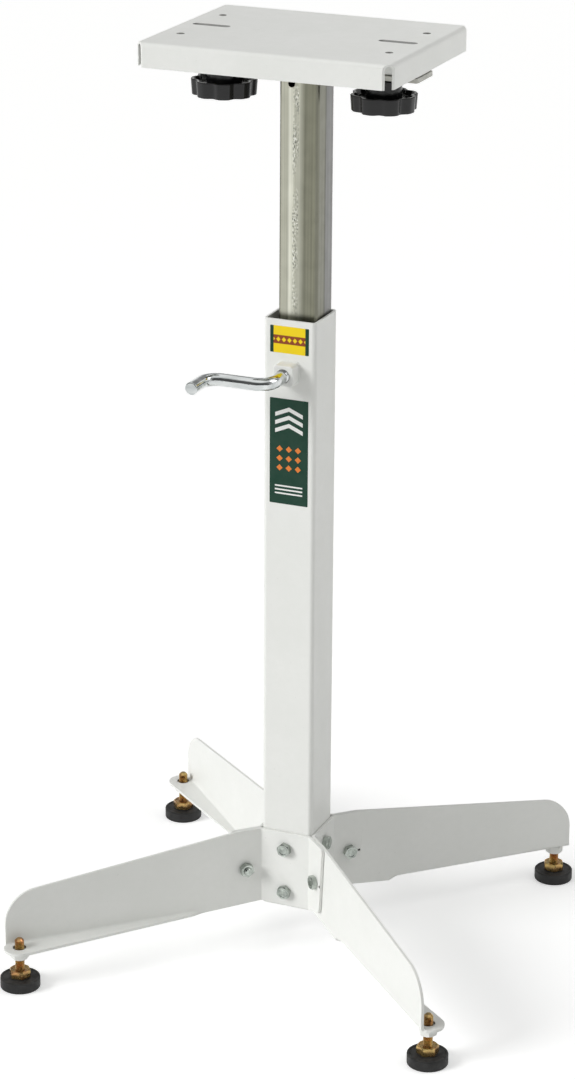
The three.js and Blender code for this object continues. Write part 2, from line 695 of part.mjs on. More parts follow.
function makeKnob() {
  const wheelTop = hubTop - HUB_HEIGHT;
  const wheel = prism(lobedOutline(), 'z', wheelTop - KNOB_HEIGHT, wheelTop);
  const hub = rod(HUB_DIAMETER, 'z', wheelTop - KNOB_HEIGHT / 2, hubTop);
  return cut(join(wheel, hub), bore(KNOB_STUD_DIAMETER, 'z', studFoot - SEAT_GAP, hubTop + CUT_MARGIN));
}

function makeKnobGroup(side, sign) {
  const group = new THREE.Group();
  const washer = cut(
    rod(WASHER_DIAMETER, 'z', -WASHER_THICKNESS - SEAT_GAP, -SEAT_GAP),
    bore(KNOB_STUD_DIAMETER, 'z', -CUT_MARGIN, CUT_MARGIN),
  );
  const studTop = knobNutFoot + KNOB_NUT_HEIGHT + KNOB_STUD_PROUD;
  const nut = hexNut(KNOB_NUT_FLATS, KNOB_NUT_HEIGHT, KNOB_STUD_DIAMETER, 'z').translate(0, 0, knobNutFoot);
  group.add(
    mesh(`knob_${side}`, makeKnob(), 'plastic'),
    mesh(`knob_stud_${side}`, rod(KNOB_STUD_DIAMETER, 'z', studFoot, studTop), 'bright'),
    mesh(`knob_washer_${side}`, washer, 'bright'),
    mesh(`knob_nut_${side}`, nut, 'bright'),
  );
  return placed(group, sign * KNOB_X, 0, 0);
}

function makeLiftGroup() {
  const group = new THREE.Group();
  group.add(
    placed(mesh('post', makePost(), 'zinc'), POST_SIDE_SHIFT, postShift - TABLE_SETBACK, 0),
    mesh('table_bar', makeBar(), 'zinc'),
    mesh('table_channel', makeChannel(), 'paint'),
    mesh('table', makeTable(), 'paint'),
    makeKnobGroup('left', -1),
    makeKnobGroup('right', 1),
  );
  return placed(group, 0, TABLE_SETBACK, postTop);
}

const stand = new THREE.Group();
stand.add(makeColumnGroup(), makeLockGroup(), makeLiftGroup());
for (let number = 1; number <= LEG_COUNT; number += 1) {
  stand.add(makeLegGroup(number));
}

export default stand;
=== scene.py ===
"""Looks of a height adjustable bench grinder stand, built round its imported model.

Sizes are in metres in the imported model's frame: +Z up, -Y the front, the floor at z = 0.
"""

import json
import logging
import math
from contextlib import contextmanager
from dataclasses import dataclass, field
from enum import Enum
from typing import Any, Callable, Iterator, Sequence

import bmesh
import bpy
from mathutils import Matrix, Vector

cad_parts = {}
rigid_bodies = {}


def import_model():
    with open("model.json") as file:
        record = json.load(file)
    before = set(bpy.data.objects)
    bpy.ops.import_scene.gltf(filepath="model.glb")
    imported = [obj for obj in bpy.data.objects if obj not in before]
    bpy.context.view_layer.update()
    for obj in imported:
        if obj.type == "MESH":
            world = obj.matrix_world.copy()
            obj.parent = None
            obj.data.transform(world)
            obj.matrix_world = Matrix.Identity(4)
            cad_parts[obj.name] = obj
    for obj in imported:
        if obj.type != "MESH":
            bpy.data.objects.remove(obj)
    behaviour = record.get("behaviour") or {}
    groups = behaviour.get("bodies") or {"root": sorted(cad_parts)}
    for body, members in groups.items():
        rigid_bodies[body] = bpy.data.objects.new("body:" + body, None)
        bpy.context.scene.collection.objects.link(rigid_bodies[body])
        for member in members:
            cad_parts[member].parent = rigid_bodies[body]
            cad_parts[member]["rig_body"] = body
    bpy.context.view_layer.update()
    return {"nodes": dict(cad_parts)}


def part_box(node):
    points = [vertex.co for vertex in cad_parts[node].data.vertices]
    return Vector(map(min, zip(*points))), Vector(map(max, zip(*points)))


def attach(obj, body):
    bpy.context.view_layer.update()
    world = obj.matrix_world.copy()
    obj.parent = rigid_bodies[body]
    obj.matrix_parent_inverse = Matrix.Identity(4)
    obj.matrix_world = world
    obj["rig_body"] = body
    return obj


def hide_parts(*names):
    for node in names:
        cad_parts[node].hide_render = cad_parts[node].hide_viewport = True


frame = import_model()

LOG = logging.getLogger("grinder_stand")
MM = 0.001
FINE = 1e-5
DOUBLED = FINE / 5
ALIGNED = 0.99
MOSTLY = 0.9
CLEAR = 1.02
CROWN = 0.475
QUARTER = math.pi / 2
ROOT_TWO = math.sqrt(2)
X, Y, Z = range(3)
UP, DOWN = (0, 0, 1), (0, 0, -1)
WHITE = (1.0, 1.0, 1.0)
THREAD_DEPTH = 0.55
THREAD_STEPS = 24
THREAD_PROFILE = ((0.25, (1, 5)), (0.85, (2, 4)), (1.0, (3,)))
RIPPLES = ((0.12, 2.1), (0.05, 0.7))

Piece = bpy.types.Object
Socket = bpy.types.NodeSocket
Material = bpy.types.Material
Test = Callable[[Any], bool]
Colour = tuple[float, float, float]
Range = tuple[float, float]
Point = Sequence[float]


class Pick(Enum):
    """Which mesh elements a step selects."""

    POINTS = "VERT"
    EDGES = "EDGE"
    FACES = "FACE"


class Carve(Enum):
    """How one solid changes another."""

    CUT = "DIFFERENCE"
    KEEP = "INTERSECT"
    WELD = "UNION"


class Side(Enum):
    """The two hand knobs, by the side they sit on."""

    LEFT = "left"
    RIGHT = "right"


# Modelling steps


def alone(piece: Piece) -> None:
    """Make one object the only selected one and the active one.

    Args:
        piece: The object.
    """
    bpy.ops.object.select_all(action="DESELECT")
    piece.select_set(True)
    bpy.context.view_layer.objects.active = piece


@contextmanager
def picked(piece: Piece, kind: Pick, test: Test) -> Iterator[None]:
    """Edit a piece with only the chosen elements selected.

    Args:
        piece: The mesh to edit.
        kind: Points, edges or faces.
        test: Says for each element whether it is selected.
    """
    alone(piece)
    bpy.ops.object.mode_set(mode="EDIT")
    bpy.ops.mesh.select_mode(type=kind.value)
    bpy.ops.mesh.select_all(action="DESELECT")
    shape = bmesh.from_edit_mesh(piece.data)
    shape.normal_update()
    items = {Pick.POINTS: shape.verts, Pick.EDGES: shape.edges, Pick.FACES: shape.faces}[kind]
    for item in [item for item in items if test(item)]:
        item.select_set(True)
    shape.select_flush_mode()
    bmesh.update_edit_mesh(piece.data)
    yield
    bpy.ops.object.mode_set(mode="OBJECT")


def everything(_item: Any) -> bool:
    """Select all."""
    return True


def corners_of(item: Any) -> list[Vector]:
    """The places of an element's points."""
    return [item.co] if isinstance(item, bmesh.types.BMVert) else [v.co for v in item.verts]


def lying_at(axis: int, place: float) -> Test:
    """Select what lies in the plane across an axis at a place."""
    return lambda item: all(abs(co[axis] - place) < FINE for co in corners_of(item))


def running(axis: int) -> Test:
    """Select edges with a run along an axis."""
    return lambda edge: abs(corners_of(edge)[0][axis] - corners_of(edge)[1][axis]) > FINE


def at_radius(low: float, high: float) -> Test:
    """Select what lies between two distances from the Z axis."""
    return lambda item: all(low < co.xy.length < high for co in corners_of(item))


def facing(direction: Point) -> Test:
    """Select faces that look in a direction."""
    return lambda face: face.normal.dot(Vector(direction)) > ALIGNED


def both(*tests: Test) -> Test:
    """Select what passes every test."""
    return lambda item: all(test(item) for test in tests)


def upright(edge: Any) -> bool:
    """Select edges that run along Z."""
    a, b = corners_of(edge)
    return (a - b).xy.length < FINE


def sharp(edge: Any) -> bool:
    """Select edges between faces that meet at more than 45 degrees."""
    return edge.calc_face_angle(0.0) > math.pi / 4


def named(piece: Piece, name: str) -> Piece:
    """Name an object and its mesh alike."""
    piece.name = piece.data.name = name
    return piece


def settled(name: str) -> Piece:
    """Name the object just added and put its place into its mesh."""
    bpy.ops.object.transform_apply(location=True, rotation=True, scale=True)
    return named(bpy.context.active_object, name)


def add_block(name: str, low: Point, high: Point) -> Piece:
    """Start from a box.

    Args:
        name: The piece's name.
        low: Its lowest corner.
        high: Its highest corner.

    Returns:
        The box.
    """
    bpy.ops.object.select_all(action="DESELECT")
    bpy.ops.mesh.primitive_cube_add(size=1.0, location=(Vector(low) + Vector(high)) / 2)
    bpy.context.active_object.scale = Vector(high) - Vector(low)
    return settled(name)


def add_rod(name: str, radius: float, low: float, high: float, sides: int, at: Point = (0.0, 0.0)) -> Piece:
    """Start from an upright cylinder.

    Args:
        name: The piece's name.
        radius: Its radius.
        low: Its foot.
        high: Its top.
        sides: How many sides stand for the round.
        at: Its axis, seen from above.

    Returns:
        The cylinder.
    """
    bpy.ops.object.select_all(action="DESELECT")
    bpy.ops.mesh.primitive_cylinder_add(
        vertices=sides, radius=radius, depth=high - low, location=(at[0], at[1], (low + high) / 2))
    return settled(name)


def add_sheet(name: str, corner: Point, along: Point, up: Point) -> Piece:
    """Start from a flat rectangle.

    Args:
        name: The piece's name.
        corner: One of its corners.
        along: The side from that corner.
        up: The other side from that corner.

    Returns:
        The rectangle.
    """
    bpy.ops.object.select_all(action="DESELECT")
    bpy.ops.mesh.primitive_plane_add(size=1.0)
    u, v = Vector(along), Vector(up)
    middle = Vector(corner) + (u + v) / 2
    turn = Matrix((u, v, u.cross(v).normalized())).transposed().to_4x4()
    return moved(settled(name), Matrix.Translation(middle) @ turn)


def push(step: Point) -> None:
    """Extrude what is selected by a step."""
    bpy.ops.mesh.extrude_region_move(TRANSFORM_OT_translate={"value": tuple(step)})


def shift(step: Point) -> None:
    """Move what is selected by a step."""
    bpy.ops.transform.translate(value=tuple(step))


def swell(share: Point, about: Point) -> None:
    """Scale what is selected about a point."""
    bpy.ops.transform.resize(value=tuple(share), center_override=tuple(about))


def swing(angle: float, centre: Point, axis: Point, steps: int = 8) -> None:
    """Sweep what is selected round an axis, anticlockwise seen against it."""
    bpy.ops.mesh.spin(steps=steps, angle=-angle, center=tuple(centre), axis=tuple(axis))


def trim(at: Point, away: Point, fill: bool = False) -> None:
    """Cut what is selected by a plane and drop the side that its normal points to."""
    bpy.ops.mesh.bisect(plane_co=tuple(at), plane_no=tuple(away), use_fill=fill, clear_outer=True)


def round_edges(width: float, segments: int) -> None:
    """Bevel the selected edges."""
    bpy.ops.mesh.bevel(offset=width, segments=segments, affect="EDGES", clamp_overlap=False)


def round_points(width: float, segments: int) -> None:
    """Round the selected corner points of a sheet."""
    bpy.ops.mesh.bevel(offset=width, segments=segments, affect="VERTICES", clamp_overlap=False)


def mended(piece: Piece) -> None:
    """Merge doubled points and turn every face outwards.

    Args:
        piece: The mesh to mend.
    """
    with picked(piece, Pick.POINTS, everything):
        bpy.ops.mesh.remove_doubles(threshold=DOUBLED)
        bpy.ops.mesh.normals_make_consistent(inside=False)


def modified(piece: Piece, kind: str, **settings: Any) -> None:
    """Add a modifier and apply it.

    Args:
        piece: The mesh that it changes.
        kind: The modifier's type.
        settings: Its properties.
    """
    alone(piece)
    modifier = piece.modifiers.new(kind.lower(), kind)
    for key, value in settings.items():
        setattr(modifier, key, value)
    bpy.ops.object.modifier_apply(modifier=modifier.name)


def discard(piece: Piece) -> None:
    """Remove a tool or a model that isn't needed any more."""
    bpy.data.objects.remove(piece, do_unlink=True)


def carved(piece: Piece, tool: Piece, how: Carve = Carve.CUT) -> None:
    """Cut, keep or weld with another solid, which is used up and whose material lines the cut."""
    modified(piece, "BOOLEAN", operation=how.value, object=tool, solver="EXACT", material_mode="TRANSFER")
    discard(tool)


def thickened(piece: Piece, wall: float, offset: float) -> None:
    """Give a sheet its thickness and turn its faces outwards."""
    modified(piece, "SOLIDIFY", thickness=wall, offset=offset, use_even_offset=True)
    mended(piece)


def eased(piece: Piece, width: float, segments: int = 2, angle: float = 40.0) -> None:
    """Break the edges of a piece that are sharper than an angle in degrees."""
    modified(piece, "BEVEL", width=width, segments=segments, limit_method="ANGLE",
             angle_limit=math.radians(angle), use_clamp_overlap=False, miter_outer="MITER_ARC")


def bored(piece: Piece, wall: float) -> None:
    """Open an upright piece from end to end.

    Args:
        piece: The solid.
        wall: The wall that is left.
    """
    with picked(piece, Pick.FACES, lambda face: abs(face.normal.z) > ALIGNED):
        bpy.ops.mesh.inset(thickness=wall)
        bpy.ops.mesh.bridge_edge_loops()


def polished(piece: Piece, angle: float = 35.0) -> Piece:
    """Shade a finished piece smooth, with flat faces kept flat.

    Args:
        piece: The finished mesh.
        angle: The angle in degrees above which an edge stays sharp.

    Returns:
        The same piece.
    """
    alone(piece)
    bpy.ops.object.shade_smooth_by_angle(angle=math.radians(angle))
    modified(piece, "WEIGHTED_NORMAL", keep_sharp=True, weight=60)
    return piece


def merged(name: str, pieces: Sequence[Piece]) -> Piece:
    """Join several meshes into one piece.

    Args:
        name: The piece's name.
        pieces: The meshes, which become one.

    Returns:
        The piece.
    """
    alone(pieces[0])
    for piece in pieces:
        piece.select_set(True)
    if len(pieces) > 1:
        bpy.ops.object.join()
    return named(pieces[0], name)


def moved(piece: Piece, place: Matrix) -> Piece:
    """Put a piece somewhere by its mesh."""
    piece.data.transform(place)
    return piece


def twin(piece: Piece, name: str, place: Matrix) -> Piece:
    """Copy a piece with its own mesh to another place.

    Args:
        piece: The piece to copy.
        name: The copy's name.
        place: Where the copy goes, counted from the piece.

    Returns:
        The copy, at the origin, with its place in its mesh.
    """
    copy = piece.copy()
    copy.data = piece.data.copy()
    bpy.context.scene.collection.objects.link(copy)
    return moved(named(copy, name), place)


def turned(degrees: float, axis: str = "Z") -> Matrix:
    """A turn about one of the axes."""
    return Matrix.Rotation(math.radians(degrees), 4, axis)


def at_place(x: float, y: float, z: float) -> Matrix:
    """A step from the origin."""
    return Matrix.Translation((x, y, z))


def middle_of(node: str) -> Vector:
    """The middle of a node's box."""
    low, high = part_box(node)
    return (low + high) / 2


def span(node: str, turn: float) -> tuple[Vector, Vector]:
    """A node's box in a frame that is turned about Z.

    Args:
        node: The CAD node.
        turn: The frame's angle in degrees.

    Returns:
        The lowest and the highest corner in that frame.
    """
    back = turned(-turn)
    points = [back @ v.co for v in frame["nodes"][node].data.vertices]
    return tuple(Vector([end(p[i] for p in points) for i in range(3)]) for end in (min, max))


def dressed(piece: Piece, finish: Material) -> Piece:
    """Give a piece its one material.

    Args:
        piece: The mesh.
        finish: The material.

    Returns:
        The same piece.
    """
    piece.data.materials.clear()
    piece.data.materials.append(finish)
    return piece


def seat(piece: Piece, node: str, finish: Material | None = None, stands_for: bool = True) -> None:
    """Dress a piece, ride it on a node's body and let it stand for that node.

    Args:
        piece: The finished mesh.
        node: The CAD node whose body carries it.
        finish: The piece's material, unless it is dressed already.
        stands_for: Whether the node is hidden behind the piece.
    """
    if finish is not None:
        dressed(piece, finish)
    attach(piece, frame["nodes"][node]["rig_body"])
    if stands_for:
        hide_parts(node)
    LOG.info("%s rides with %s, %d faces", piece.name, node, len(piece.data.polygons))


def repeated(model: Piece, copies: Sequence[tuple[str, str, Matrix]],
             finish: Material | None) -> None:
    """Copy a model to every place it is used, seat the copies and drop the model.

    Args:
        model: The piece that is copied.
        copies: Each copy's name, node and place.
        finish: The material, unless the model is dressed already.
    """
    for name, node, place in copies:
        seat(twin(model, name, place), node, finish)
    discard(model)


# Shapes used by more than one sub-assembly


def square_tube(name: str, low: Vector, high: Vector, corner: float, wall: float, rim: float) -> Piece:
    """Model an open square tube.

    Args:
        name: The piece's name.
        low: Its lowest corner.
        high: Its highest corner.
        corner: The outer corners' radius.
        wall: The wall's thickness.
        rim: How far the cut ends are broken.

    Returns:
        The tube.
    """
    tube = add_block(name, low, high)
    with picked(tube, Pick.EDGES, upright):
        round_edges(corner, 8)
    bored(tube, wall)
    at_ends = lambda edge: lying_at(Z, low.z)(edge) or lying_at(Z, high.z)(edge)
    with picked(tube, Pick.EDGES, both(sharp, at_ends)):
        round_edges(rim, 2)
    return tube


def crowned_barrel(radius: float, low: float, high: float, top: float, bottom: float, slope: float) -> Piece:
    """A round bar with coned ends, used to trim hexagons and threads.

    Args:
        radius: The bar's radius.
        low: Its foot.
        high: Its top.
        top: The radius at the top.
        bottom: The radius at the foot.
        slope: The cones' rise for each step outwards.

    Returns:
        The bar, upright on the origin.
    """
    rise = (radius - top) * slope
    drop = (radius - bottom) * slope
    barrel = add_rod("barrel", radius, low + drop, high - rise, 64)
    for level, step, end in ((high - rise, rise, top), (low + drop, -drop, bottom)):
        if abs(step) > FINE:
            with picked(barrel, Pick.FACES, lying_at(Z, level)):
                push((0, 0, step))
                swell((end / radius, end / radius, 1), (0, 0, level + step))
    return barrel


def hexagon_block(name: str, flats: float, low: float, high: float, foot_cone: bool = False) -> Piece:
    """Model an upright hexagon with coned corners.

    Args:
        name: The piece's name.
        flats: The distance across its flats.
        low: Its foot.
        high: Its top.
        foot_cone: Whether its foot is coned as its top is.

    Returns:
        The hexagon, on the origin, with corners on Y.
    """
    corner = flats / math.sqrt(3)
    block = add_rod(name, corner, low, high, 6)
    reach = corner * CLEAR
    seat_radius = flats * CROWN
    barrel = crowned_barrel(reach, low, high, seat_radius, seat_radius if foot_cone else reach, slope=0.5)
    carved(block, barrel, Carve.KEEP)
    return block


def threaded_rod(name: str, radius: float, low: float, high: float, pitch: float, tip: float) -> Piece:
    """Model an upright rod with a rolled thread.

    Args:
        name: The piece's name.
        radius: The thread's outer radius.
        low: Its foot.
        high: Its top.
        pitch: The thread's pitch.
        tip: The radius that the coned top comes down to.

    Returns:
        The rod, on the origin.
    """
    depth = THREAD_DEPTH * pitch
    start = low - pitch
    rod = add_sheet(name, (radius - depth, 0, start), (depth, 0, 0), (0, 0, pitch))
    with picked(rod, Pick.POINTS, lying_at(X, radius)):
        bpy.ops.mesh.delete(type="VERT")
    with picked(rod, Pick.EDGES, everything):
        bpy.ops.mesh.subdivide(number_cuts=5)
    for share, places in THREAD_PROFILE:
        levels = [start + pitch * place / 6 for place in places]
        near = lambda point, levels=levels: any(abs(point.co.z - z) < FINE for z in levels)
        with picked(rod, Pick.POINTS, near):
            shift((depth * share, 0, 0))
    turns = math.ceil((high - low) / pitch) + 3
    modified(rod, "SCREW", axis="Z", angle=2 * math.pi, screw_offset=pitch, iterations=turns,
             steps=THREAD_STEPS, render_steps=THREAD_STEPS, use_merge_vertices=True, merge_threshold=DOUBLED)
    mended(rod)
    for level, away in ((low, DOWN), (high, UP)):
        with picked(rod, Pick.FACES, everything):
            trim((0, 0, level), away, fill=True)
    mended(rod)
    if tip < radius:
        reach = radius * CLEAR
        carved(rod, crowned_barrel(reach, low - MM, high, tip, reach, slope=1.0), Carve.KEEP)
    return rod


def ring(name: str, outer: float, inner: float, low: float, high: float, edge: float) -> Piece:
    """Model a flat ring with broken edges.

    Args:
        name: The piece's name.
        outer: Its outer radius.
        inner: Its inner radius.
        low: Its foot.
        high: Its top.
        edge: How far its edges are broken.

    Returns:
        The ring, on the origin.
    """
    disc = add_rod(name, outer, low, high, 48)
    bored(disc, outer - inner)
    with picked(disc, Pick.EDGES, sharp):
        round_edges(edge, 2)
    return disc


def hexagon_nut(name: str, flats: float, hole: float, low: float, high: float) -> Piece:
    """Model an upright hexagon nut with coned faces and a countersunk hole.

    Args:
        name: The piece's name.
        flats: The distance across its flats.
        hole: The hole's radius.
        low: Its foot.
        high: Its top.

    Returns:
        The nut, on the origin.
    """
    nut = hexagon_block(name, flats, low, high, foot_cone=True)
    carved(nut, add_rod("drill", hole, low - MM, high + MM, 32))
    at_hole = both(sharp, at_radius(hole - MM / 20, hole + MM / 20), lambda edge: not upright(edge))
    with picked(nut, Pick.EDGES, at_hole):
        round_edges(0.5 * MM, 1)
    return nut


def weld_bead(name: str, half: float, corner: float, radius: float, place: Matrix) -> Piece:
    """Model a fillet of weld with its ripples round a square with rounded corners.

    Args:
        name: The piece's name.
        half: Half the square's side.
        corner: The radius of the square's corners.
        radius: The bead's radius.
        place: Where the square's middle goes.

    Returns:
        The bead.
    """
    square = add_sheet(name, (-half, -half, 0), (2 * half, 0, 0), (0, 2 * half, 0))
    with picked(square, Pick.POINTS, everything):
        round_points(corner, 5)
    with picked(square, Pick.EDGES, lambda edge: edge.calc_length() > corner):
        bpy.ops.mesh.subdivide(number_cuts=11)
    with picked(square, Pick.FACES, everything):
        bpy.ops.mesh.delete(type="ONLY_FACE")
    bpy.ops.object.convert(target="CURVE")
    line = bpy.context.active_object.data
    line.bevel_depth = radius
    line.bevel_resolution = 2
    for index, point in enumerate(line.splines[0].points):
        point.radius = 1.0 + sum(height * math.sin(index * rate) for height, rate in RIPPLES)
    bpy.ops.object.convert(target="MESH")
    bead = settled(name)
    mended(bead)
    modified(bead, "SUBSURF", levels=1, render_levels=1)
    return polished(moved(bead, place), 60)


# Node trees


class Wiring:
    """Adds and joins nodes in one node tree."""

    def __init__(self, tree: bpy.types.NodeTree) -> None:
        """Keep the tree."""
        self.tree = tree

    def put(self, socket: Socket, value: Any) -> None:
        """Fill an input.

        Args:
            socket: The input.
            value: An output to link it to, a number, a vector or a colour.
        """
        if isinstance(value, Socket):
            self.tree.links.new(value, socket)
        else:
            socket.default_value = (*value, 1.0) if socket.type == "RGBA" else value

    def node(self, kind: str, inputs: dict[Any, Any] | None = None, **settings: Any) -> bpy.types.Node:
        """Add a node.

        Args:
            kind: The node's type.
            inputs: What goes into its inputs, by their labels or places.
            settings: Its properties.

        Returns:
            The node.
        """
        made = self.tree.nodes.new(kind)
        for key, value in settings.items():
            setattr(made, key, value)
        for key, value in (inputs or {}).items():
            self.put(made.inputs[key], value)
        return made

    def sum(self, how: str, a: Any, b: Any = 0.0) -> Socket:
        """Work out a math operation on two values."""
        return self.node("ShaderNodeMath", {0: a, 1: b}, operation=how).outputs[0]

    def times(self, a: Any, b: Any) -> Socket:
        """Multiply two values."""
        return self.sum("MULTIPLY", a, b)

    def apart(self, value: Any, place: float = 0.5) -> Socket:
        """How far a value is from a place."""
        return self.sum("ABSOLUTE", self.sum("SUBTRACT", value, place))

    def between(self, value: Any, low: float, high: float) -> Socket:
        """A mask that is 1 between two places."""
        return self.times(self.sum("GREATER_THAN", value, low), self.sum("LESS_THAN", value, high))

    def coordinates(self, stretch: Any = WHITE) -> Socket:
        """The piece's own coordinates, stretched."""
        place = self.node("ShaderNodeTexCoord").outputs["Object"]
        return self.node("ShaderNodeVectorMath", {0: place, 1: stretch}, operation="MULTIPLY").outputs[0]

    def axes(self, vector: Any) -> Any:
        """A vector's X, Y and Z."""
        return self.node("ShaderNodeSeparateXYZ", {0: vector}).outputs

    def noise(self, vector: Any, scale: Any = 1.0, detail: float = 3.0) -> Socket:
        """Soft noise from 0 to 1."""
        inputs = {"Vector": vector, "Scale": scale, "Detail": detail}
        return self.node("ShaderNodeTexNoise", inputs).outputs["Fac"]

    def spread(self, value: Any, start: Any, end: Any, low: Any = 0.0, high: Any = 1.0) -> Socket:
        """Map a value's range onto another, held at its ends."""
        inputs = dict(enumerate((value, start, end, low, high)))
        return self.node("ShaderNodeMapRange", inputs).outputs["Result"]

    def blend(self, factor: Any, a: Any, b: Any, how: str = "MIX") -> Socket:
        """Mix two colours."""
        inputs = {0: factor, 6: a, 7: b}
        return self.node("ShaderNodeMix", inputs, data_type="RGBA", blend_type=how).outputs[2]

    def ramp(self, value: Any, stops: Sequence[tuple[float, Colour]]) -> Socket:
        """Run through colours as a value goes from 0 to 1.

        Args:
            value: The value.
            stops: Places with their colours, the first and the last one leading.

        Returns:
            The colour.
        """
        made = self.node("ShaderNodeValToRGB", {0: value})
        elements = made.color_ramp.elements
        for index, (place, colour) in enumerate(stops):
            stop = elements[index] if index < 2 else elements.new(place)
            stop.position = place
            stop.color = (*colour, 1.0)
        return made.outputs[0]

    def bumped(self, height: Any, strength: float, distance: float) -> Socket:
        """A normal from a height."""
        inputs = {"Strength": strength, "Distance": distance, "Height": height}
        return self.node("ShaderNodeBump", inputs).outputs["Normal"]

    def effect(self, group: bpy.types.NodeTree, **values: Any) -> Socket:
        """Place a shared effect with its own values."""
        inputs = {key.capitalize(): value for key, value in values.items()}
        return self.node("ShaderNodeGroup", inputs, node_tree=group).outputs[0]


class Effects:
    """The node groups that more than one finish uses, each built once."""

    cloud: Range = (0.3, 0.7)
    rub_scale: float = 220.0
    rub_breaks: Range = (0.35, 0.6)
    dust_lies: Range = (0.3, 1.0)
    dust_scale: float = 130.0
    dust_breaks: Range = (0.35, 0.75)

    def __init__(self) -> None:
        """Build every group."""
        self.mottle = self.make("Mottle", {"Scale": 40.0, "Low": 0.0, "High": 1.0}, self.wire_mottle)
        self.drawn = self.make("Drawn lines", {"Stretch": WHITE, "Low": 0.0, "High": 1.0}, self.wire_drawn)
        self.specks = self.make("Specks", {"Scale": 300.0, "Start": 0.66, "End": 0.72}, self.wire_specks)
        self.rub = self.make("Rubbed edges", {"Start": 0.52, "End": 0.6}, self.wire_rub)
        self.dust = self.make("Settled dust", {"Amount": 0.5}, self.wire_dust)
        self.grain = self.make("Grain", {"Scale": 900.0}, self.wire_grain)

    @staticmethod
    def make(name: str, inputs: dict[str, Any], wire: Callable[[Wiring, Any], Socket]) -> bpy.types.NodeTree:
        """Make a group with named inputs and one output.

        Args:
            name: The group's name.
            inputs: Its inputs and their usual values.
            wire: Adds its nodes and returns the socket that it puts out.

        Returns:
            The group.
        """
        group = bpy.data.node_groups.new(name, "ShaderNodeTree")
        for label, usual in inputs.items():
            kind = "NodeSocketVector" if isinstance(usual, tuple) else "NodeSocketFloat"
            socket = group.interface.new_socket(name=label, in_out="INPUT", socket_type=kind)
            socket.default_value = usual
        group.interface.new_socket(name="Value", in_out="OUTPUT", socket_type="NodeSocketFloat")
        wiring = Wiring(group)
        given = wiring.node("NodeGroupInput").outputs
        wiring.node("NodeGroupOutput", {0: wire(wiring, given)})
        return group

    def mottled(self, w: Wiring, scale: float, values: Range) -> Socket:
        """Cloudy variation between two values."""
        return w.effect(self.mottle, scale=scale, low=values[0], high=values[1])

    def wire_mottle(self, w: Wiring, given: Any) -> Socket:
        """Cloudy variation."""
        cloud = w.noise(w.coordinates(), given["Scale"], 4.0)
        return w.spread(cloud, *self.cloud, given["Low"], given["High"])

    def wire_drawn(self, w: Wiring, given: Any) -> Socket:
        """Lines left by drawing or rolling, along the axis that is stretched least."""
        lines = w.noise(w.coordinates(given["Stretch"]), 1.0, 5.0)
        return w.spread(lines, *self.cloud, given["Low"], given["High"])

    @staticmethod
    def wire_specks(w: Wiring, given: Any) -> Socket:
        """Scattered small spots."""
        return w.spread(w.noise(w.coordinates(), given["Scale"], 2.0), given["Start"], given["End"])

    def wire_rub(self, w: Wiring, given: Any) -> Socket:
        """A broken mask along the edges that stand out."""
        edge = w.spread(w.node("ShaderNodeNewGeometry").outputs["Pointiness"], given["Start"], given["End"])
        return w.times(edge, w.spread(w.noise(w.coordinates(), self.rub_scale), *self.rub_breaks))

    def wire_dust(self, w: Wiring, given: Any) -> Socket:
        """A thin cloudy film on faces that look up."""
        up = w.spread(w.axes(w.node("ShaderNodeNewGeometry").outputs["Normal"])["Z"], *self.dust_lies)
        return w.times(given["Amount"], w.times(
            up, w.spread(w.noise(w.coordinates(), self.dust_scale, 5.0), *self.dust_breaks)))

    @staticmethod
    def wire_grain(w: Wiring, given: Any) -> Socket:
        """A fine even height."""
        return w.noise(w.coordinates(), given["Scale"], 2.0)


# Finishes


@dataclass(frozen=True)
class Finish:
    """A material by its name, and what feeds its shader."""

    name: str

    def sockets(self, w: Wiring, effects: Effects) -> dict[str, Any]:
        """What goes into the shader, by its inputs' labels."""
        raise NotImplementedError

    def made(self, effects: Effects) -> Material:
        """Make the material.

        Args:
            effects: The shared effects.

        Returns:
            The material.
        """
        material = bpy.data.materials.new(self.name)
        material.use_nodes = True
        wiring = Wiring(material.node_tree)
        shader = next(n for n in material.node_tree.nodes if n.type == "BSDF_PRINCIPLED")
        for label, value in self.sockets(wiring, effects).items():
            wiring.put(shader.inputs[label], value)
        return material


@dataclass(frozen=True)
class Paint(Finish):
    """Baked powder coat, cloudy, with a faint orange peel and a few nibs."""

    pale: Colour
    shade: Colour
    cloud_scale: float = 14.0
    cloud_share: float = 0.6
    fine_scale: float = 160.0
    fine_share: float = 0.35
    nib_scale: float = 420.0
    nibs: Range = (0.72, 0.78)
    nib_colour: Colour = (0.42, 0.41, 0.37)
    nib_share: float = 0.18
    nib_height: float = 0.6
    rough_scale: float = 55.0
    rough: Range = (0.36, 0.48)
    peel_scale: float = 520.0
    peel_strength: float = 0.35
    peel_height: float = 0.00006
    shine: float = 0.45

    def sockets(self, w: Wiring, effects: Effects) -> dict[str, Any]:
        """What goes into the shader.

        Args:
            w: The material's wiring.
            effects: The shared effects.

        Returns:
            Values and outputs, by the shader's inputs.
        """
        cloud = w.effect(effects.mottle, scale=self.cloud_scale)
        fine = w.effect(effects.mottle, scale=self.fine_scale, low=0.0, high=self.fine_share)
        nibs = w.effect(effects.specks, scale=self.nib_scale, start=self.nibs[0], end=self.nibs[1])
        colour = w.blend(w.times(cloud, self.cloud_share), self.pale, self.shade)
        colour = w.blend(fine, colour, self.shade)
        peel = w.effect(effects.grain, scale=self.peel_scale)
        height = w.sum("ADD", peel, w.times(nibs, self.nib_height))
        return {
            "Base Color": w.blend(w.times(nibs, self.nib_share), colour, self.nib_colour),
            "Roughness": effects.mottled(w, self.rough_scale, self.rough),
            "Normal": w.bumped(height, self.peel_strength, self.peel_height),
            "Specular IOR Level": self.shine,
        }


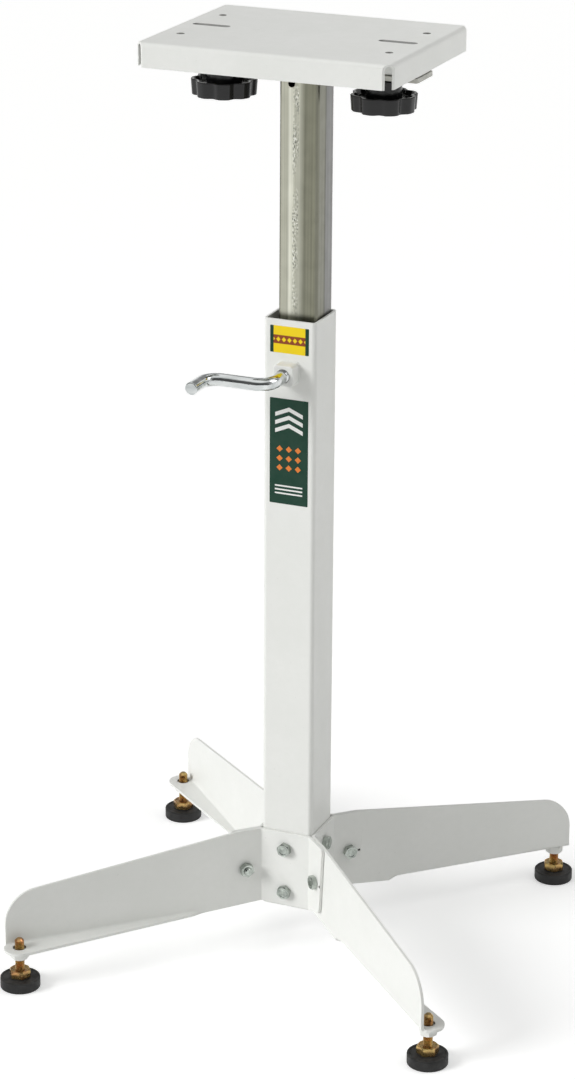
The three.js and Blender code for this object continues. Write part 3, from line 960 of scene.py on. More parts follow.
@dataclass(frozen=True)
class Plate(Finish):
    """Metal plate over drawn, rolled or cut steel, brighter along rubbed edges."""

    light: Colour
    dark: Colour
    stretch: tuple[float, float, float]
    rough: Range = (0.28, 0.46)
    rough_scale: float = 70.0
    line_height: float = 0.00003
    line_strength: float = 0.5
    line_finer: float = 2.5
    stain: Colour = (0.2, 0.19, 0.16)
    stain_share: float = 0.25
    stain_scale: float = 38.0
    stain_most: float = 0.7
    worn: Range = (0.53, 0.62)
    worn_share: float = 0.5
    worn_lift: float = 1.25

    def colours(self, w: Wiring, effects: Effects) -> Socket:
        """The plate's colour over its surface.

        Args:
            w: The material's wiring.
            effects: The shared effects.

        Returns:
            The colour.
        """
        lines = w.effect(effects.drawn, stretch=self.stretch)
        cloud = w.effect(effects.mottle, scale=self.stain_scale, low=0.0, high=self.stain_most)
        colour = w.blend(lines, self.light, self.dark)
        colour = w.blend(w.times(cloud, self.stain_share), colour, self.stain)
        rubbed = w.effect(effects.rub, start=self.worn[0], end=self.worn[1])
        lifted = tuple(min(1.0, c * self.worn_lift) for c in self.light)
        return w.blend(w.times(rubbed, self.worn_share), colour, lifted)

    def sockets(self, w: Wiring, effects: Effects) -> dict[str, Any]:
        """What goes into the shader.

        Args:
            w: The material's wiring.
            effects: The shared effects.

        Returns:
            Values and outputs, by the shader's inputs.
        """
        lines = w.effect(effects.drawn, stretch=tuple(self.line_finer * s for s in self.stretch))
        return {
            "Base Color": self.colours(w, effects),
            "Metallic": 1.0,
            "Roughness": effects.mottled(w, self.rough_scale, self.rough),
            "Normal": w.bumped(lines, self.line_strength, self.line_height),
        }


@dataclass(frozen=True)
class SlidePlate(Plate):
    """Dull zinc on the sliding post: painted reflection bands across its front, flanks darkened as painted
    shade, and a rubbed strip down its front.
    """

    middle: Range = (3 * MM, 4.15 * MM)
    half: float = 20 * MM
    front: Range = (0.6 * MM, 0.1 * MM)
    wave: float = 0.5 * MM
    wave_stretch: Point = (0.0, 0.0, 11.0)
    tones: Range = (0.8, 1.14)
    # Painted reflection: tones across the front face, with a bright band left of the middle and a darker
    # right part.
    face_painted_reflection_bands: Sequence[tuple[float, Colour]] = (
        (0.0, (0.49, 0.49, 0.405)), (1.0, (0.4, 0.4, 0.34)), (0.06, (0.56, 0.56, 0.465)),
        (0.22, (0.54, 0.54, 0.445)), (0.28, (0.81, 0.81, 0.7)), (0.35, (0.81, 0.81, 0.69)),
        (0.4, (0.6, 0.6, 0.5)), (0.53, (0.54, 0.54, 0.45)), (0.61, (0.36, 0.36, 0.29)),
        (0.67, (0.26, 0.26, 0.2)), (0.93, (0.265, 0.265, 0.2)), (0.97, (0.38, 0.38, 0.32)))
    # Painted shade: the flanks are much darker than the front, with a darker line down their middle.
    flank_painted_shade_bands: Sequence[tuple[float, Colour]] = (
        (0.0, (0.22, 0.22, 0.175)), (1.0, (0.22, 0.22, 0.215)), (0.4, (0.23, 0.23, 0.185)),
        (0.47, (0.14, 0.14, 0.115)), (0.52, (0.235, 0.235, 0.228)))
    strip: Range = (-6 * MM, 1 * MM)
    patch_stretch: Point = (60.0, 1.0, 22.0)
    patches: Range = (0.42, 0.6)
    fleck_stretch: Point = (620.0, 1.0, 330.0)
    dark_flecks: Range = (0.53, 0.6)
    dark_share: float = 0.85
    dark_fleck: Colour = (0.09, 0.1, 0.1)
    pale_flecks: Range = (0.46, 0.4)
    pale_fleck: Colour = (0.95, 0.95, 0.9)

    def colours(self, w: Wiring, effects: Effects) -> Socket:
        """The zinc with its painted reflection bands, its flanks darkened as painted shade, and its rubbed
        strip.

        Args:
            w: The material's wiring.
            effects: The shared effects.

        Returns:
            The colour.
        """
        axes = w.axes(w.coordinates())
        wave = w.spread(w.noise(w.coordinates(self.wave_stretch)), *effects.cloud, -self.wave, self.wave)
        x = w.sum("SUBTRACT", w.sum("ADD", axes["X"], wave), self.middle[0])
        depth = w.sum("SUBTRACT", axes["Y"], self.middle[1])
        # Painted reflection bands across the front and painted shade on the flanks, chosen by the at_front
        # mask.
        face = w.ramp(w.spread(x, -self.half, self.half), self.face_painted_reflection_bands)
        shaded_flank = w.ramp(w.spread(w.sum("ADD", depth, wave), -self.half, self.half), self.flank_painted_shade_bands)
        at_front = w.spread(depth, self.front[0] - self.half, self.front[1] - self.half)
        lines = w.effect(effects.drawn, stretch=self.stretch, low=self.tones[0], high=self.tones[1])
        colour = w.blend(1.0, w.blend(at_front, shaded_flank, face), lines, "MULTIPLY")
        start, end = self.strip
        strip = w.times(w.spread(x, start, start + MM), w.spread(x, end, end - MM))
        patch = w.spread(w.noise(w.coordinates(self.patch_stretch), 1.0, 2.0), *self.patches)
        strip = w.times(w.times(strip, patch), at_front)
        flecks = w.noise(w.coordinates(self.fleck_stretch), 1.0, 2.0)
        dark = w.times(strip, w.spread(flecks, *self.dark_flecks))
        colour = w.blend(w.times(dark, self.dark_share), colour, self.dark_fleck)
        return w.blend(w.times(strip, w.spread(flecks, *self.pale_flecks)), colour, self.pale_fleck)


@dataclass(frozen=True)
class Passivate(Finish):
    """Yellow passivated zinc, which runs from gold through olive to copper."""

    gold: Colour
    olive: Colour
    copper: Colour
    copper_scale: float = 90.0
    olive_scale: float = 170.0
    olive_share: float = 0.55
    grime: Colour = (0.05, 0.035, 0.02)
    grime_scale: float = 260.0
    grime_spots: Range = (0.56, 0.68)
    grime_share: float = 0.6
    metal: float = 0.9
    rough_scale: float = 120.0
    rough: Range = (0.14, 0.32)
    grain_scale: float = 1500.0
    grain_strength: float = 0.2
    grain_height: float = 0.00003

    def sockets(self, w: Wiring, effects: Effects) -> dict[str, Any]:
        """What goes into the shader.

        Args:
            w: The material's wiring.
            effects: The shared effects.

        Returns:
            Values and outputs, by the shader's inputs.
        """
        colour = w.blend(w.effect(effects.mottle, scale=self.copper_scale), self.gold, self.copper)
        olive = w.effect(effects.mottle, scale=self.olive_scale)
        colour = w.blend(w.times(olive, self.olive_share), colour, self.olive)
        start, end = self.grime_spots
        grime = w.effect(effects.specks, scale=self.grime_scale, start=start, end=end)
        grain = w.effect(effects.grain, scale=self.grain_scale)
        return {
            "Base Color": w.blend(w.times(grime, self.grime_share), colour, self.grime),
            "Metallic": self.metal,
            "Roughness": effects.mottled(w, self.rough_scale, self.rough),
            "Normal": w.bumped(grain, self.grain_strength, self.grain_height),
        }


@dataclass(frozen=True)
class Moulding(Finish):
    """Moulded rubber or plastic with a fine texture, rubbed edges and settled dust."""

    deep: Colour
    worn: Colour
    rough: Range
    grain_scale: float
    grain_height: float
    dust: float
    dust_colour: Colour = (0.3, 0.29, 0.27)
    cloud_scale: float = 60.0
    cloud_share: float = 0.45
    rub: Range = (0.54, 0.64)
    rough_scale: float = 140.0
    grain_strength: float = 0.5
    shine: float = 0.45

    def sockets(self, w: Wiring, effects: Effects) -> dict[str, Any]:
        """What goes into the shader.

        Args:
            w: The material's wiring.
            effects: The shared effects.

        Returns:
            Values and outputs, by the shader's inputs.
        """
        cloud = w.effect(effects.mottle, scale=self.cloud_scale, low=0.0, high=self.cloud_share)
        colour = w.blend(cloud, self.deep, self.worn)
        colour = w.blend(w.effect(effects.rub, start=self.rub[0], end=self.rub[1]), colour, self.worn)
        grain = w.effect(effects.grain, scale=self.grain_scale)
        return {
            "Base Color": w.blend(w.effect(effects.dust, amount=self.dust), colour, self.dust_colour),
            "Roughness": effects.mottled(w, self.rough_scale, self.rough),
            "Normal": w.bumped(grain, self.grain_strength, self.grain_height),
            "Specular IOR Level": self.shine,
        }


@dataclass(frozen=True)
class Film(Finish):
    """A printed label: three flat inks under a clear gloss."""

    node: str
    ground: Colour
    second: Colour
    third: Colour
    fade: Colour = (0.25, 0.25, 0.23)
    fade_scale: float = 120.0
    fade_share: float = 0.035
    rough_scale: float = 90.0
    rough: Range = (0.3, 0.42)
    grain_scale: float = 700.0
    grain_strength: float = 0.2
    grain_height: float = 0.00003
    shine: float = 0.25

    def printed(self, w: Wiring, across: Any, up: Any) -> Socket:
        """The inks, by the place across and up the label."""
        raise NotImplementedError

    def sockets(self, w: Wiring, effects: Effects) -> dict[str, Any]:
        """What goes into the shader.

        Args:
            w: The material's wiring.
            effects: The shared effects.

        Returns:
            Values and outputs, by the shader's inputs.
        """
        low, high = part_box(self.node)
        axes = w.axes(w.coordinates())
        inks = self.printed(w, w.spread(axes["X"], low.x, high.x), w.spread(axes["Z"], low.z, high.z))
        fade = w.effect(effects.mottle, scale=self.fade_scale, low=0.0, high=self.fade_share)
        grain = w.effect(effects.grain, scale=self.grain_scale)
        return {
            "Base Color": w.blend(fade, inks, self.fade),
            "Roughness": effects.mottled(w, self.rough_scale, self.rough),
            "Normal": w.bumped(grain, self.grain_strength, self.grain_height),
            "Specular IOR Level": self.shine,
        }


@dataclass(frozen=True)
class TallFilm(Film):
    """Three chevrons over nine diamonds, with a ruled foot."""

    margin: float = 0.36
    chevron_rise: float = 0.16
    chevron_rows: float = 13.0
    chevrons: Range = (9.0, 12.0)
    diamonds: int = 3
    diamond_start: Range = (0.14, 0.3)
    diamond_step: Range = (0.24, 0.0897)
    diamond_half: float = 0.34
    rule_rows: float = 28.0
    rules: Range = (2.0, 5.0)
    rule_gap: float = 0.6

    def printed(self, w: Wiring, across: Any, up: Any) -> Socket:
        """The inks.

        Args:
            w: The material's wiring.
            across: The place across the label, from 0 to 1.
            up: The place up the label, from 0 to 1.

        Returns:
            The colour.
        """
        off = w.apart(across)
        inner = w.sum("LESS_THAN", off, self.margin)
        slant = w.times(w.sum("ADD", up, w.times(off, self.chevron_rise)), self.chevron_rows)
        bands = w.times(w.sum("GREATER_THAN", w.sum("FRACT", slant), 0.5), w.between(slant, *self.chevrons))
        cells = [w.times(w.sum("SUBTRACT", place, start), 1 / step)
                 for place, start, step in zip((across, up), self.diamond_start, self.diamond_step)]
        size = w.sum("ADD", *(w.apart(w.sum("FRACT", cell)) for cell in cells))
        inside = w.times(*(w.between(cell, 0.0, self.diamonds) for cell in cells))
        diamonds = w.times(w.sum("LESS_THAN", size, self.diamond_half), inside)
        lines = w.times(up, self.rule_rows)
        rules = w.times(w.sum("GREATER_THAN", w.sum("FRACT", lines), self.rule_gap),
                        w.times(w.between(lines, *self.rules), inner))
        colour = w.blend(w.times(bands, inner), self.ground, self.second)
        return w.blend(rules, w.blend(diamonds, colour, self.third), self.second)


@dataclass(frozen=True)
class WideFilm(Film):
    """Dark end blocks and a middle band set with diamonds."""

    ends: float = 0.41
    band: Range = (0.34, 0.66)
    diamonds: float = 7.0
    diamond_rise: float = 4.2
    diamond_half: float = 0.4

    def printed(self, w: Wiring, across: Any, up: Any) -> Socket:
        """The inks.

        Args:
            w: The material's wiring.
            across: The place across the label, from 0 to 1.
            up: The place up the label, from 0 to 1.

        Returns:
            The colour.
        """
        band = w.between(up, *self.band)
        size = w.sum("ADD", w.apart(w.sum("FRACT", w.times(across, self.diamonds))),
                     w.times(w.apart(up), self.diamond_rise))
        diamonds = w.times(w.sum("LESS_THAN", size, self.diamond_half), band)
        colour = w.blend(diamonds, w.blend(band, self.ground, self.third), self.ground)
        return w.blend(w.sum("GREATER_THAN", w.apart(across), self.ends), colour, self.second)


class Finishes:
    """Every material of the stand."""

    def __init__(self) -> None:
        """Make the materials."""
        effects = Effects()
        green, yellow, white = (0.006, 0.045, 0.026), (0.92, 0.68, 0.012), (0.85, 0.85, 0.83)
        brown, orange = (0.28, 0.06, 0.02), (0.78, 0.22, 0.04)
        self.paint = Paint("off_white_powder_coat", (0.846, 0.85, 0.827), (0.79, 0.8, 0.769)).made(effects)
        # Painted shade: a grey paint on the slot walls, darker than the white coat, so the slots read
        # shaded.
        self.slot_wall_shade = Paint("slot_walls_painted_shade", (0.45, 0.45, 0.44), (0.36, 0.36, 0.35)).made(effects)
        # A grey metal lining for drilled holes: partly bare steel in the cut, partly painted shade that
        # darkens the holes.
        self.edge = Plate("hole_lining_bare_metal_and_painted_shade", (0.5, 0.5, 0.48), (0.34, 0.34, 0.325), (500.0, 500.0, 60.0),
                          rough=(0.45, 0.65)).made(effects)
        self.post = SlidePlate("dull_zinc_post", (0.29, 0.29, 0.28), (0.23, 0.23, 0.225),
                               (420.0, 420.0, 3.0), rough=(0.3, 0.42)).made(effects)
        self.bar = Plate("sheared_zinc", (0.5, 0.5, 0.46), (0.3, 0.3, 0.27),
                         (6.0, 300.0, 420.0)).made(effects)
        self.bright = Plate("bright_zinc", (0.58, 0.62, 0.58), (0.28, 0.31, 0.285), (240.0, 240.0, 240.0),
                            rough=(0.1, 0.22), stain=(0.12, 0.14, 0.12), stain_share=0.4).made(effects)
        self.chrome = Plate("bright_chrome", (0.78, 0.8, 0.8), (0.5, 0.53, 0.53), (40.0, 160.0, 160.0),
                            rough=(0.06, 0.15), line_height=0.0001, stain=(0.28, 0.28, 0.24),
                            stain_share=0.18).made(effects)
        self.yellow = Passivate("yellow_zinc", gold=(0.68, 0.47, 0.17), olive=(0.36, 0.34, 0.13),
                                copper=(0.5, 0.2, 0.09)).made(effects)
        self.rubber = Moulding("pad_rubber", (0.012, 0.012, 0.012), (0.032, 0.032, 0.031), rough=(0.5, 0.75),
                               grain_scale=1400.0, grain_height=0.00008, dust=0.1).made(effects)
        self.plastic = Moulding("knob_plastic", (0.005, 0.005, 0.0055), (0.012, 0.012, 0.0125),
                                rough=(0.15, 0.27), grain_scale=1800.0, grain_height=0.00003,
                                dust=0.02).made(effects)
        self.upper_print = WideFilm("yellow_print", "label_upper", yellow, green, brown).made(effects)
        self.lower_print = TallFilm("green_print", "label_lower", green, white, orange).made(effects)


# Sub-assemblies


@dataclass
class Column:
    """The painted column with its lock boss and labels."""

    finishes: Finishes
    corner: float = 4.5 * MM
    wall: float = 2.5 * MM
    rim: float = 0.4 * MM
    screw: float = 6.35 * MM
    drill_slack: float = 0.5 * MM
    drill_reach: float = 20 * MM
    nut_corner: float = 3.5 * MM
    nut_break: float = 1.3 * MM
    nut_slack: float = 0.3 * MM
    nut_sink: float = 0.6 * MM
    nut_inner: float = 0.8
    weld: float = 1.0 * MM
    weld_off: float = 0.1 * MM
    film_corner: float = 0.8 * MM
    film_edge: float = 0.05 * MM

    def build(self) -> None:
        """Model and dress every piece."""
        self.build_tube()
        self.build_boss()
        self.build_labels()

    def build_tube(self) -> None:
        """The square tube, bored for the lock screw."""
        low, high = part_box("column")
        tube = square_tube("column_tube", low, high, self.corner, self.wall, self.rim)
        drill = add_rod("drill", self.screw + self.drill_slack, -self.drill_reach, self.drill_reach, 32)
        carved(tube, moved(drill, at_place(0, low.y, middle_of("lock_nut").z) @ turned(90, "X")))
        seat(polished(tube), "column", self.finishes.paint)

    def build_boss(self) -> None:
        """The square lock boss with broken edges, and the weld round its foot."""
        low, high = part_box("lock_nut")
        middle = middle_of("lock_nut")
        length = high.y - low.y
        half = (high.x - low.x) / 2
        at_front = both(sharp, lying_at(Z, length))
        nut = add_block("lock_boss", (-half, -half, 0), (half, half, length))
        with picked(nut, Pick.EDGES, upright):
            round_edges(self.nut_corner, 6)
        with picked(nut, Pick.EDGES, at_front):
            round_edges(self.nut_break, 3)
        carved(nut, add_rod("drill", self.screw + self.nut_slack, -MM, length + MM, 40))
        with picked(nut, Pick.EDGES, both(at_front, at_radius(0, self.nut_inner * half))):
            round_edges(self.nut_sink, 2)
        place = at_place(middle.x, high.y, middle.z) @ turned(90, "X")
        seat(polished(moved(nut, place)), "lock_nut", self.finishes.paint)
        bead = weld_bead("lock_boss_weld", half + self.weld_off, self.nut_corner, self.weld,
                         place @ at_place(0, 0, self.weld_off))
        seat(bead, "lock_nut", self.finishes.paint, stands_for=False)

    def build_labels(self) -> None:
        """The two printed films."""
        for node, slot, finish in (("label_upper", "upper_label", self.finishes.upper_print),
                                   ("label_lower", "lower_label", self.finishes.lower_print)):
            film = add_block(node.replace("label", "film"), *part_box(node))
            with picked(film, Pick.EDGES, running(Y)):
                round_edges(self.film_corner, 4)
            eased(film, self.film_edge, 1)
            seat(polished(film), node, finish)


@dataclass(frozen=True)
class Fastening:
    """A bolt and its nut on a leg: their pieces' and nodes' names, with {k} for the leg, and their turns."""

    bolt: str
    bolt_node: str
    nut: str
    nut_node: str
    bearing: float
    bolt_turn: float
    nut_turn: float


@dataclass
class Legs:
    """Four alike sheet legs with their bolts, nuts and foot nuts, modelled on leg 1."""

    finishes: Finishes
    count: int = 4
    start_angle: float = 225.0
    sheet: float = 3 * MM
    bend: float = 2.5 * MM
    gap: float = 0.3 * MM
    column_half: float = 27 * MM
    height: float = 80.6 * MM
    tip_height: float = 52.8 * MM
    tip_corner: float = 30.4 * MM
    level_reach: float = 66 * MM
    blade_start: float = 37.8 * MM
    skirt_start: float = 42 * MM
    skirt_end: float = 103 * MM
    skirt_depth: float = 4 * MM
    tab_top: float = 73.5 * MM
    tab_foot: float = 66.5 * MM
    tab_rise: float = 8 * MM
    tab_corner: float = 4 * MM
    flange_start: float = 115 * MM
    curl_steps: int = 8
    flange_width: float = 7.5 * MM
    foot_reach: float = 300 * MM
    foot_offset: float = 12.7 * MM
    fold_steps: Sequence[Point] = ((0.3, 0.55, 0.25), (0.55, 0.8, 0.55), (0.8, 1.1, 1.0))
    lobe: float = 15.5 * MM
    lobe_steps: int = 26
    lobe_spare: float = 1.5
    end_margin: float = 11 * MM
    edge: float = 0.35 * MM
    drill_reach: float = 12 * MM
    stud_hole: float = 6.5 * MM
    stud_drill: float = 10 * MM
    dot: float = 1.3 * MM
    dot_at: Range = (10.7 * MM, -0.8 * MM)
    bolt_hole: float = 4.4 * MM
    bolt_radius: float = 3.97 * MM
    bolt_pitch: float = 1.41 * MM
    bolt_tip: float = 0.78
    bolt_flats: float = 12.7 * MM
    bolt_head: float = 5.4 * MM
    bolt_sunk: float = 0.2 * MM
    head_rim: float = 1.6 * MM
    head_dish: float = 0.35 * MM
    head_draft: float = 0.9
    head_edge: float = 0.15 * MM
    nut_height: float = 6.8 * MM
    nut_grip: float = 0.3 * MM
    foot_nut_flats: float = 16 * MM
    foot_nut_hole: float = 4.6 * MM
    foot_nut_edge: float = 0.4 * MM
    foot_nut_turn: float = 12.0
    fastenings: Sequence[Fastening] = (
        Fastening("flange_bolt_{k}_lower", "column_bolt_{k}_lower",
                  "inner_nut_{k}_lower", "column_nut_{k}_lower", 45.0, 17.0, 0.0),
        Fastening("flange_bolt_{k}_upper", "column_bolt_{k}_upper",
                  "inner_nut_{k}_upper", "column_nut_{k}_upper", 45.0, 43.0, 0.0),
        Fastening("lap_bolt_{k}", "tab_bolt_{k}", "lap_nut_{k}", "tab_nut_{k}", 0.0, 8.0, 20.0))
    top: float = field(init=False)
    foot: float = field(init=False)
    level: float = field(init=False)
    middle: float = field(init=False)
    fold: float = field(init=False)
    root: float = field(init=False)
    reach: float = field(init=False)

    def __post_init__(self) -> None:
        """Work out the places that follow from the sizes."""
        self.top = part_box("leg_1")[1].z
        self.foot = self.top - self.height
        self.level = self.foot + self.bend
        self.middle = (self.gap + self.sheet) / 2
        self.fold = self.bend + self.sheet / 2
        self.root = (self.column_half + self.gap + self.sheet / 2) * ROOT_TWO - self.middle
        self.reach = self.foot_reach + self.end_margin

    def build(self) -> None:
        """Model and dress every piece."""
        self.build_sheets()
        self.build_bolts()
        self.build_nuts()

    def angle(self, number: int) -> float:
        """A leg's angle in degrees."""
        return self.start_angle + 360.0 / self.count * (number - 1)

    def put_round(self, piece: Piece, label: str, node: str, finish: Material | None) -> None:
        """Copy a piece in a leg's frame to all four legs.

        Args:
            piece: The piece, in a leg's own frame.
            label: The pieces' name, with {k} for the leg's number.
            node: The node's name, with {k} for the leg's number.
            finish: The material, unless the piece is dressed already.
        """
        numbers = range(1, self.count + 1)
        copies = [(label.format(k=k), node.format(k=k), turned(self.angle(k))) for k in numbers]
        repeated(piece, copies, finish)

    def build_sheets(self) -> None:
        """The four legs."""
        leg = self.bent_sheet()
        self.trim_sheet(leg)
        self.fold_foot(leg)
        mended(leg)
        thickened(leg, self.sheet, 0.0)
        dressed(leg, self.finishes.paint)
        # The leg's holes and dot are lined with the grey metal, partly bare steel, partly painted shade.
        carved(leg, dressed(self.drills(), self.finishes.edge))
        eased(leg, self.edge, 2, 50)
        self.put_round(polished(leg), "leg_sheet_{k}", "leg_{k}", None)

    def bent_sheet(self) -> Piece:
        """Bend the middle surface of the tab, the flange and the blade.

        Returns:
            The sheet, without its thickness.
        """
        run = self.fold * math.tan(QUARTER / 4)
        first = self.root + run
        leg = add_sheet("leg_sheet", (self.middle, self.tab_top, self.foot),
                        (0, first - self.tab_top, 0), (0, 0, self.height))
        slant = Vector((1, -1, 0)) / ROOT_TWO
        leaves = Vector((self.root, self.middle, 0)) - slant * run
        turn_out = leaves + self.fold * Vector((1, 1, 0)) / ROOT_TWO
        with picked(leg, Pick.EDGES, lying_at(Y, first)):
            swing(QUARTER / 2, (self.middle + self.fold, first, 0), UP)
            push(slant * ((self.root - self.middle) * ROOT_TWO - 2 * run))
            swing(QUARTER / 2, turn_out, UP)
            stations = (first, self.skirt_start, self.skirt_end, self.flange_start, self.reach)
            for start, end in zip(stations, stations[1:]):
                push((end - start, 0, 0))
        mended(leg)
        return leg

    def trim_sheet(self, leg: Piece) -> None:
        """Cut the blade's slope, skirt and tip, and the tab's end.

        Args:
            leg: The bent sheet.
        """
        on_blade = lambda face: face.calc_center_median().x > self.blade_start
        on_tab = lambda face: face.calc_center_median().y > self.root
        with picked(leg, Pick.FACES, on_blade):
            bpy.ops.mesh.bisect(plane_co=(0, 0, self.level), plane_no=UP)
        folded = lambda face: (face.calc_center_median().x > self.skirt_end
                               and face.calc_center_median().z < self.level)
        with picked(leg, Pick.FACES, folded):
            bpy.ops.mesh.delete(type="FACE")
        at_foot = lambda point: point.co.z < self.foot + FINE
        with picked(leg, Pick.POINTS, both(lying_at(X, self.skirt_end), at_foot)):
            shift((0, 0, -self.skirt_depth))
        with picked(leg, Pick.FACES, on_blade):
            trim((self.level_reach, 0, self.top),
                 (self.height - self.tip_height, 0, self.reach - self.level_reach))
        tip = Vector((self.reach, self.middle, self.foot + self.tip_height))
        with picked(leg, Pick.POINTS, lambda point: (point.co - tip).length < MM / 10):
            round_points(self.tip_corner, 10)
        with picked(leg, Pick.FACES, on_tab):
            trim((0, self.root, self.foot), (0, self.tab_rise, self.root - self.tab_foot))
        with picked(leg, Pick.FACES, on_tab):
            trim((0, self.tab_top, self.top), (0, self.height - self.tab_rise, self.tab_foot - self.tab_top))
        ends = [Vector((self.middle, self.tab_top, self.top)),
                Vector((self.middle, self.tab_foot, self.foot + self.tab_rise))]
        with picked(leg, Pick.POINTS, lambda point: any((point.co - end).length < MM / 2 for end in ends)):
            round_points(self.tab_corner, 5)

    def fold_foot(self, leg: Piece) -> None:
        """Fold the foot flange out of the blade's foot, taper it and round its end.

        Args:
            leg: The trimmed sheet.
        """
        end = self.middle + self.fold
        in_flange = lambda edge: all(co.x > self.flange_start - FINE for co in corners_of(edge))
        with picked(leg, Pick.EDGES, both(lying_at(Z, self.level), in_flange)):
            swing(QUARTER, (0, end, self.level), (1, 0, 0))
            push((0, self.foot_offset + self.lobe_spare * self.lobe - end, 0))
        mended(leg)
        past = math.sqrt(self.lobe ** 2 - (self.foot_offset - end) ** 2) - self.end_margin
        for near, far, share in self.fold_steps:
            in_fold = lambda point, near=near, far=far: (
                point.co.z < self.level and near <= (point.co.y - self.middle) / self.fold < far)
            with picked(leg, Pick.POINTS, both(lying_at(X, self.reach), in_fold)):
                shift((past * share, 0, 0))
        run = self.foot_reach - self.flange_start
        rise = self.foot_offset - self.flange_width
        taper = math.atan2(rise, run) + math.asin(self.lobe / math.hypot(run, rise))
        away = Vector((-math.sin(taper), math.cos(taper), 0))
        touch = Vector((self.foot_reach, self.foot_offset, 0)) + self.lobe * away
        last = Vector((self.reach + past, end, 0))
        along = last - touch
        flat = lambda face: abs(face.normal.z) > MOSTLY and face.calc_center_median().y > end
        for outwards in (away, (-along.y, along.x, 0)):
            with picked(leg, Pick.FACES, flat):
                trim(touch, outwards)
        self.curl_skirt(leg)
        self.round_lobe(leg, touch, last)

    def curl_skirt(self, leg: Piece) -> None:
        """Run the flat skirt over into the start of the fold.

        Args:
            leg: The folded sheet.
        """
        below = lambda edge: all(co.z < self.level + FINE for co in corners_of(edge))
        skirt = both(lying_at(X, self.skirt_end), below)
        flange = both(lying_at(X, self.flange_start), below)
        with picked(leg, Pick.EDGES, skirt):
            bpy.ops.mesh.subdivide(number_cuts=self.curl_steps)
        with picked(leg, Pick.EDGES, lambda edge: skirt(edge) or flange(edge)):
            bpy.ops.mesh.bridge_edge_loops()
        mended(leg)

    def round_lobe(self, leg: Piece, start: Vector, end: Vector) -> None:
        """Sweep the flange's round end from its outer edge to the fold.

        Args:
            leg: The folded sheet.
            start: Where the round leaves the outer edge.
            end: Where it meets the fold.
        """
        centre = Vector((self.foot_reach, self.foot_offset, self.foot - self.sheet / 2))
        arc = (start - centre).xy.angle((end - centre).xy)
        at_start = lambda point: (point.co - start).xy.length < MM / 10 and point.co.z < self.foot
        with picked(leg, Pick.POINTS, at_start):
            swing(-arc, centre, UP, self.lobe_steps)
        mended(leg)
        on_rim = lambda edge: all(
            abs((co - centre).xy.length - self.lobe) < MM / 20 for co in corners_of(edge))
        with picked(leg, Pick.EDGES, both(lying_at(Z, centre.z), on_rim)):
            bpy.ops.mesh.edge_face_add()
        mended(leg)

    def drills(self) -> Piece:
        """Model every hole of a leg.

        Returns:
            One tool that cuts them all.
        """
        low, high = span("tab_bolt_1", self.angle(1))
        tab = (low + high) / 2
        along_x, along_y = turned(90, "Y"), turned(90, "X")
        places = [(self.bolt_hole, at_place(0, tab.y, tab.z) @ along_x),
                  (self.dot, at_place(0, tab.y + self.dot_at[0], tab.z + self.dot_at[1]) @ along_x),
                  (self.bolt_hole, at_place(tab.y, 0, tab.z) @ along_y)]
        away = (self.column_half + self.gap) / ROOT_TWO
        for level in ("lower", "upper"):
            height = middle_of(f"column_bolt_1_{level}").z
            places.append((self.bolt_hole, at_place(away, away, height) @ turned(45) @ along_x))
        tools = [add_rod("drill", self.stud_hole, self.foot - self.stud_drill, self.foot + self.stud_drill,
                         40, (self.foot_reach, self.foot_offset))]
        for radius, place in places:
            tools.append(moved(add_rod("drill", radius, -self.drill_reach, self.drill_reach, 24), place))
        return merged("drills", tools)

    def bolt(self, length: float) -> Piece:
        """Model a hexagon bolt along X.

        Args:
            length: Its length under the head.

        Returns:
            The bolt, with its head's seat at the origin and its head towards +X.
        """
        head = hexagon_block("bolt", self.bolt_flats, 0, self.bolt_head)
        with picked(head, Pick.FACES, both(facing(UP), lying_at(Z, self.bolt_head))):
            bpy.ops.mesh.inset(thickness=self.head_rim)
            push((0, 0, -self.head_dish))
            swell((self.head_draft, self.head_draft, 1), (0, 0, self.bolt_head))
        eased(head, self.head_edge, 1, 25)
        radius, wide = self.bolt_radius, self.bolt_radius * CLEAR
        shank = threaded_rod("shank", radius, -length, self.bolt_sunk, self.bolt_pitch, radius)
        carved(shank, crowned_barrel(wide, -length, MM, wide, radius * self.bolt_tip, 1.0), Carve.KEEP)
        return moved(polished(merged("bolt", [head, shank])), turned(90, "Y"))

    def build_bolts(self) -> None:
        """The bolts through the flanges and the tabs."""
        for joint in self.fastenings:
            low, high = span(joint.bolt_node.format(k=1), self.angle(1) + joint.bearing)
            middle = (low + high) / 2
            under_head = high.x - self.bolt_head
            place = turned(joint.bearing) @ at_place(under_head, middle.y, middle.z)
            bolt = moved(self.bolt(under_head - low.x), place @ turned(joint.bolt_turn, "X"))
            self.put_round(bolt, joint.bolt, joint.bolt_node, self.finishes.bright)

    def build_nuts(self) -> None:
        """The nuts inside the column, behind the tabs and under the lobes."""
        hole = self.bolt_radius - self.nut_grip
        nut = moved(polished(hexagon_nut("nut", self.bolt_flats, hole, 0, self.nut_height)), turned(90, "Y"))
        for joint in self.fastenings:
            low, high = span(joint.nut_node.format(k=1), self.angle(1) + joint.bearing)
            middle = (low + high) / 2
            place = turned(joint.bearing) @ at_place(low.x, middle.y, middle.z)
            copy = twin(nut, "model", place @ turned(joint.nut_turn, "X"))
            self.put_round(copy, joint.nut, joint.nut_node, self.finishes.bright)
        discard(nut)
        low, high = span("foot_nut_1", self.angle(1))
        middle = (low + high) / 2
        foot = hexagon_nut("foot", self.foot_nut_flats, self.foot_nut_hole, low.z, high.z)
        eased(foot, self.foot_nut_edge, 2, 50)
        moved(foot, at_place(middle.x, middle.y, 0) @ turned(self.foot_nut_turn))
        self.put_round(polished(foot), "weld_nut_{k}", "foot_nut_{k}", self.finishes.paint)


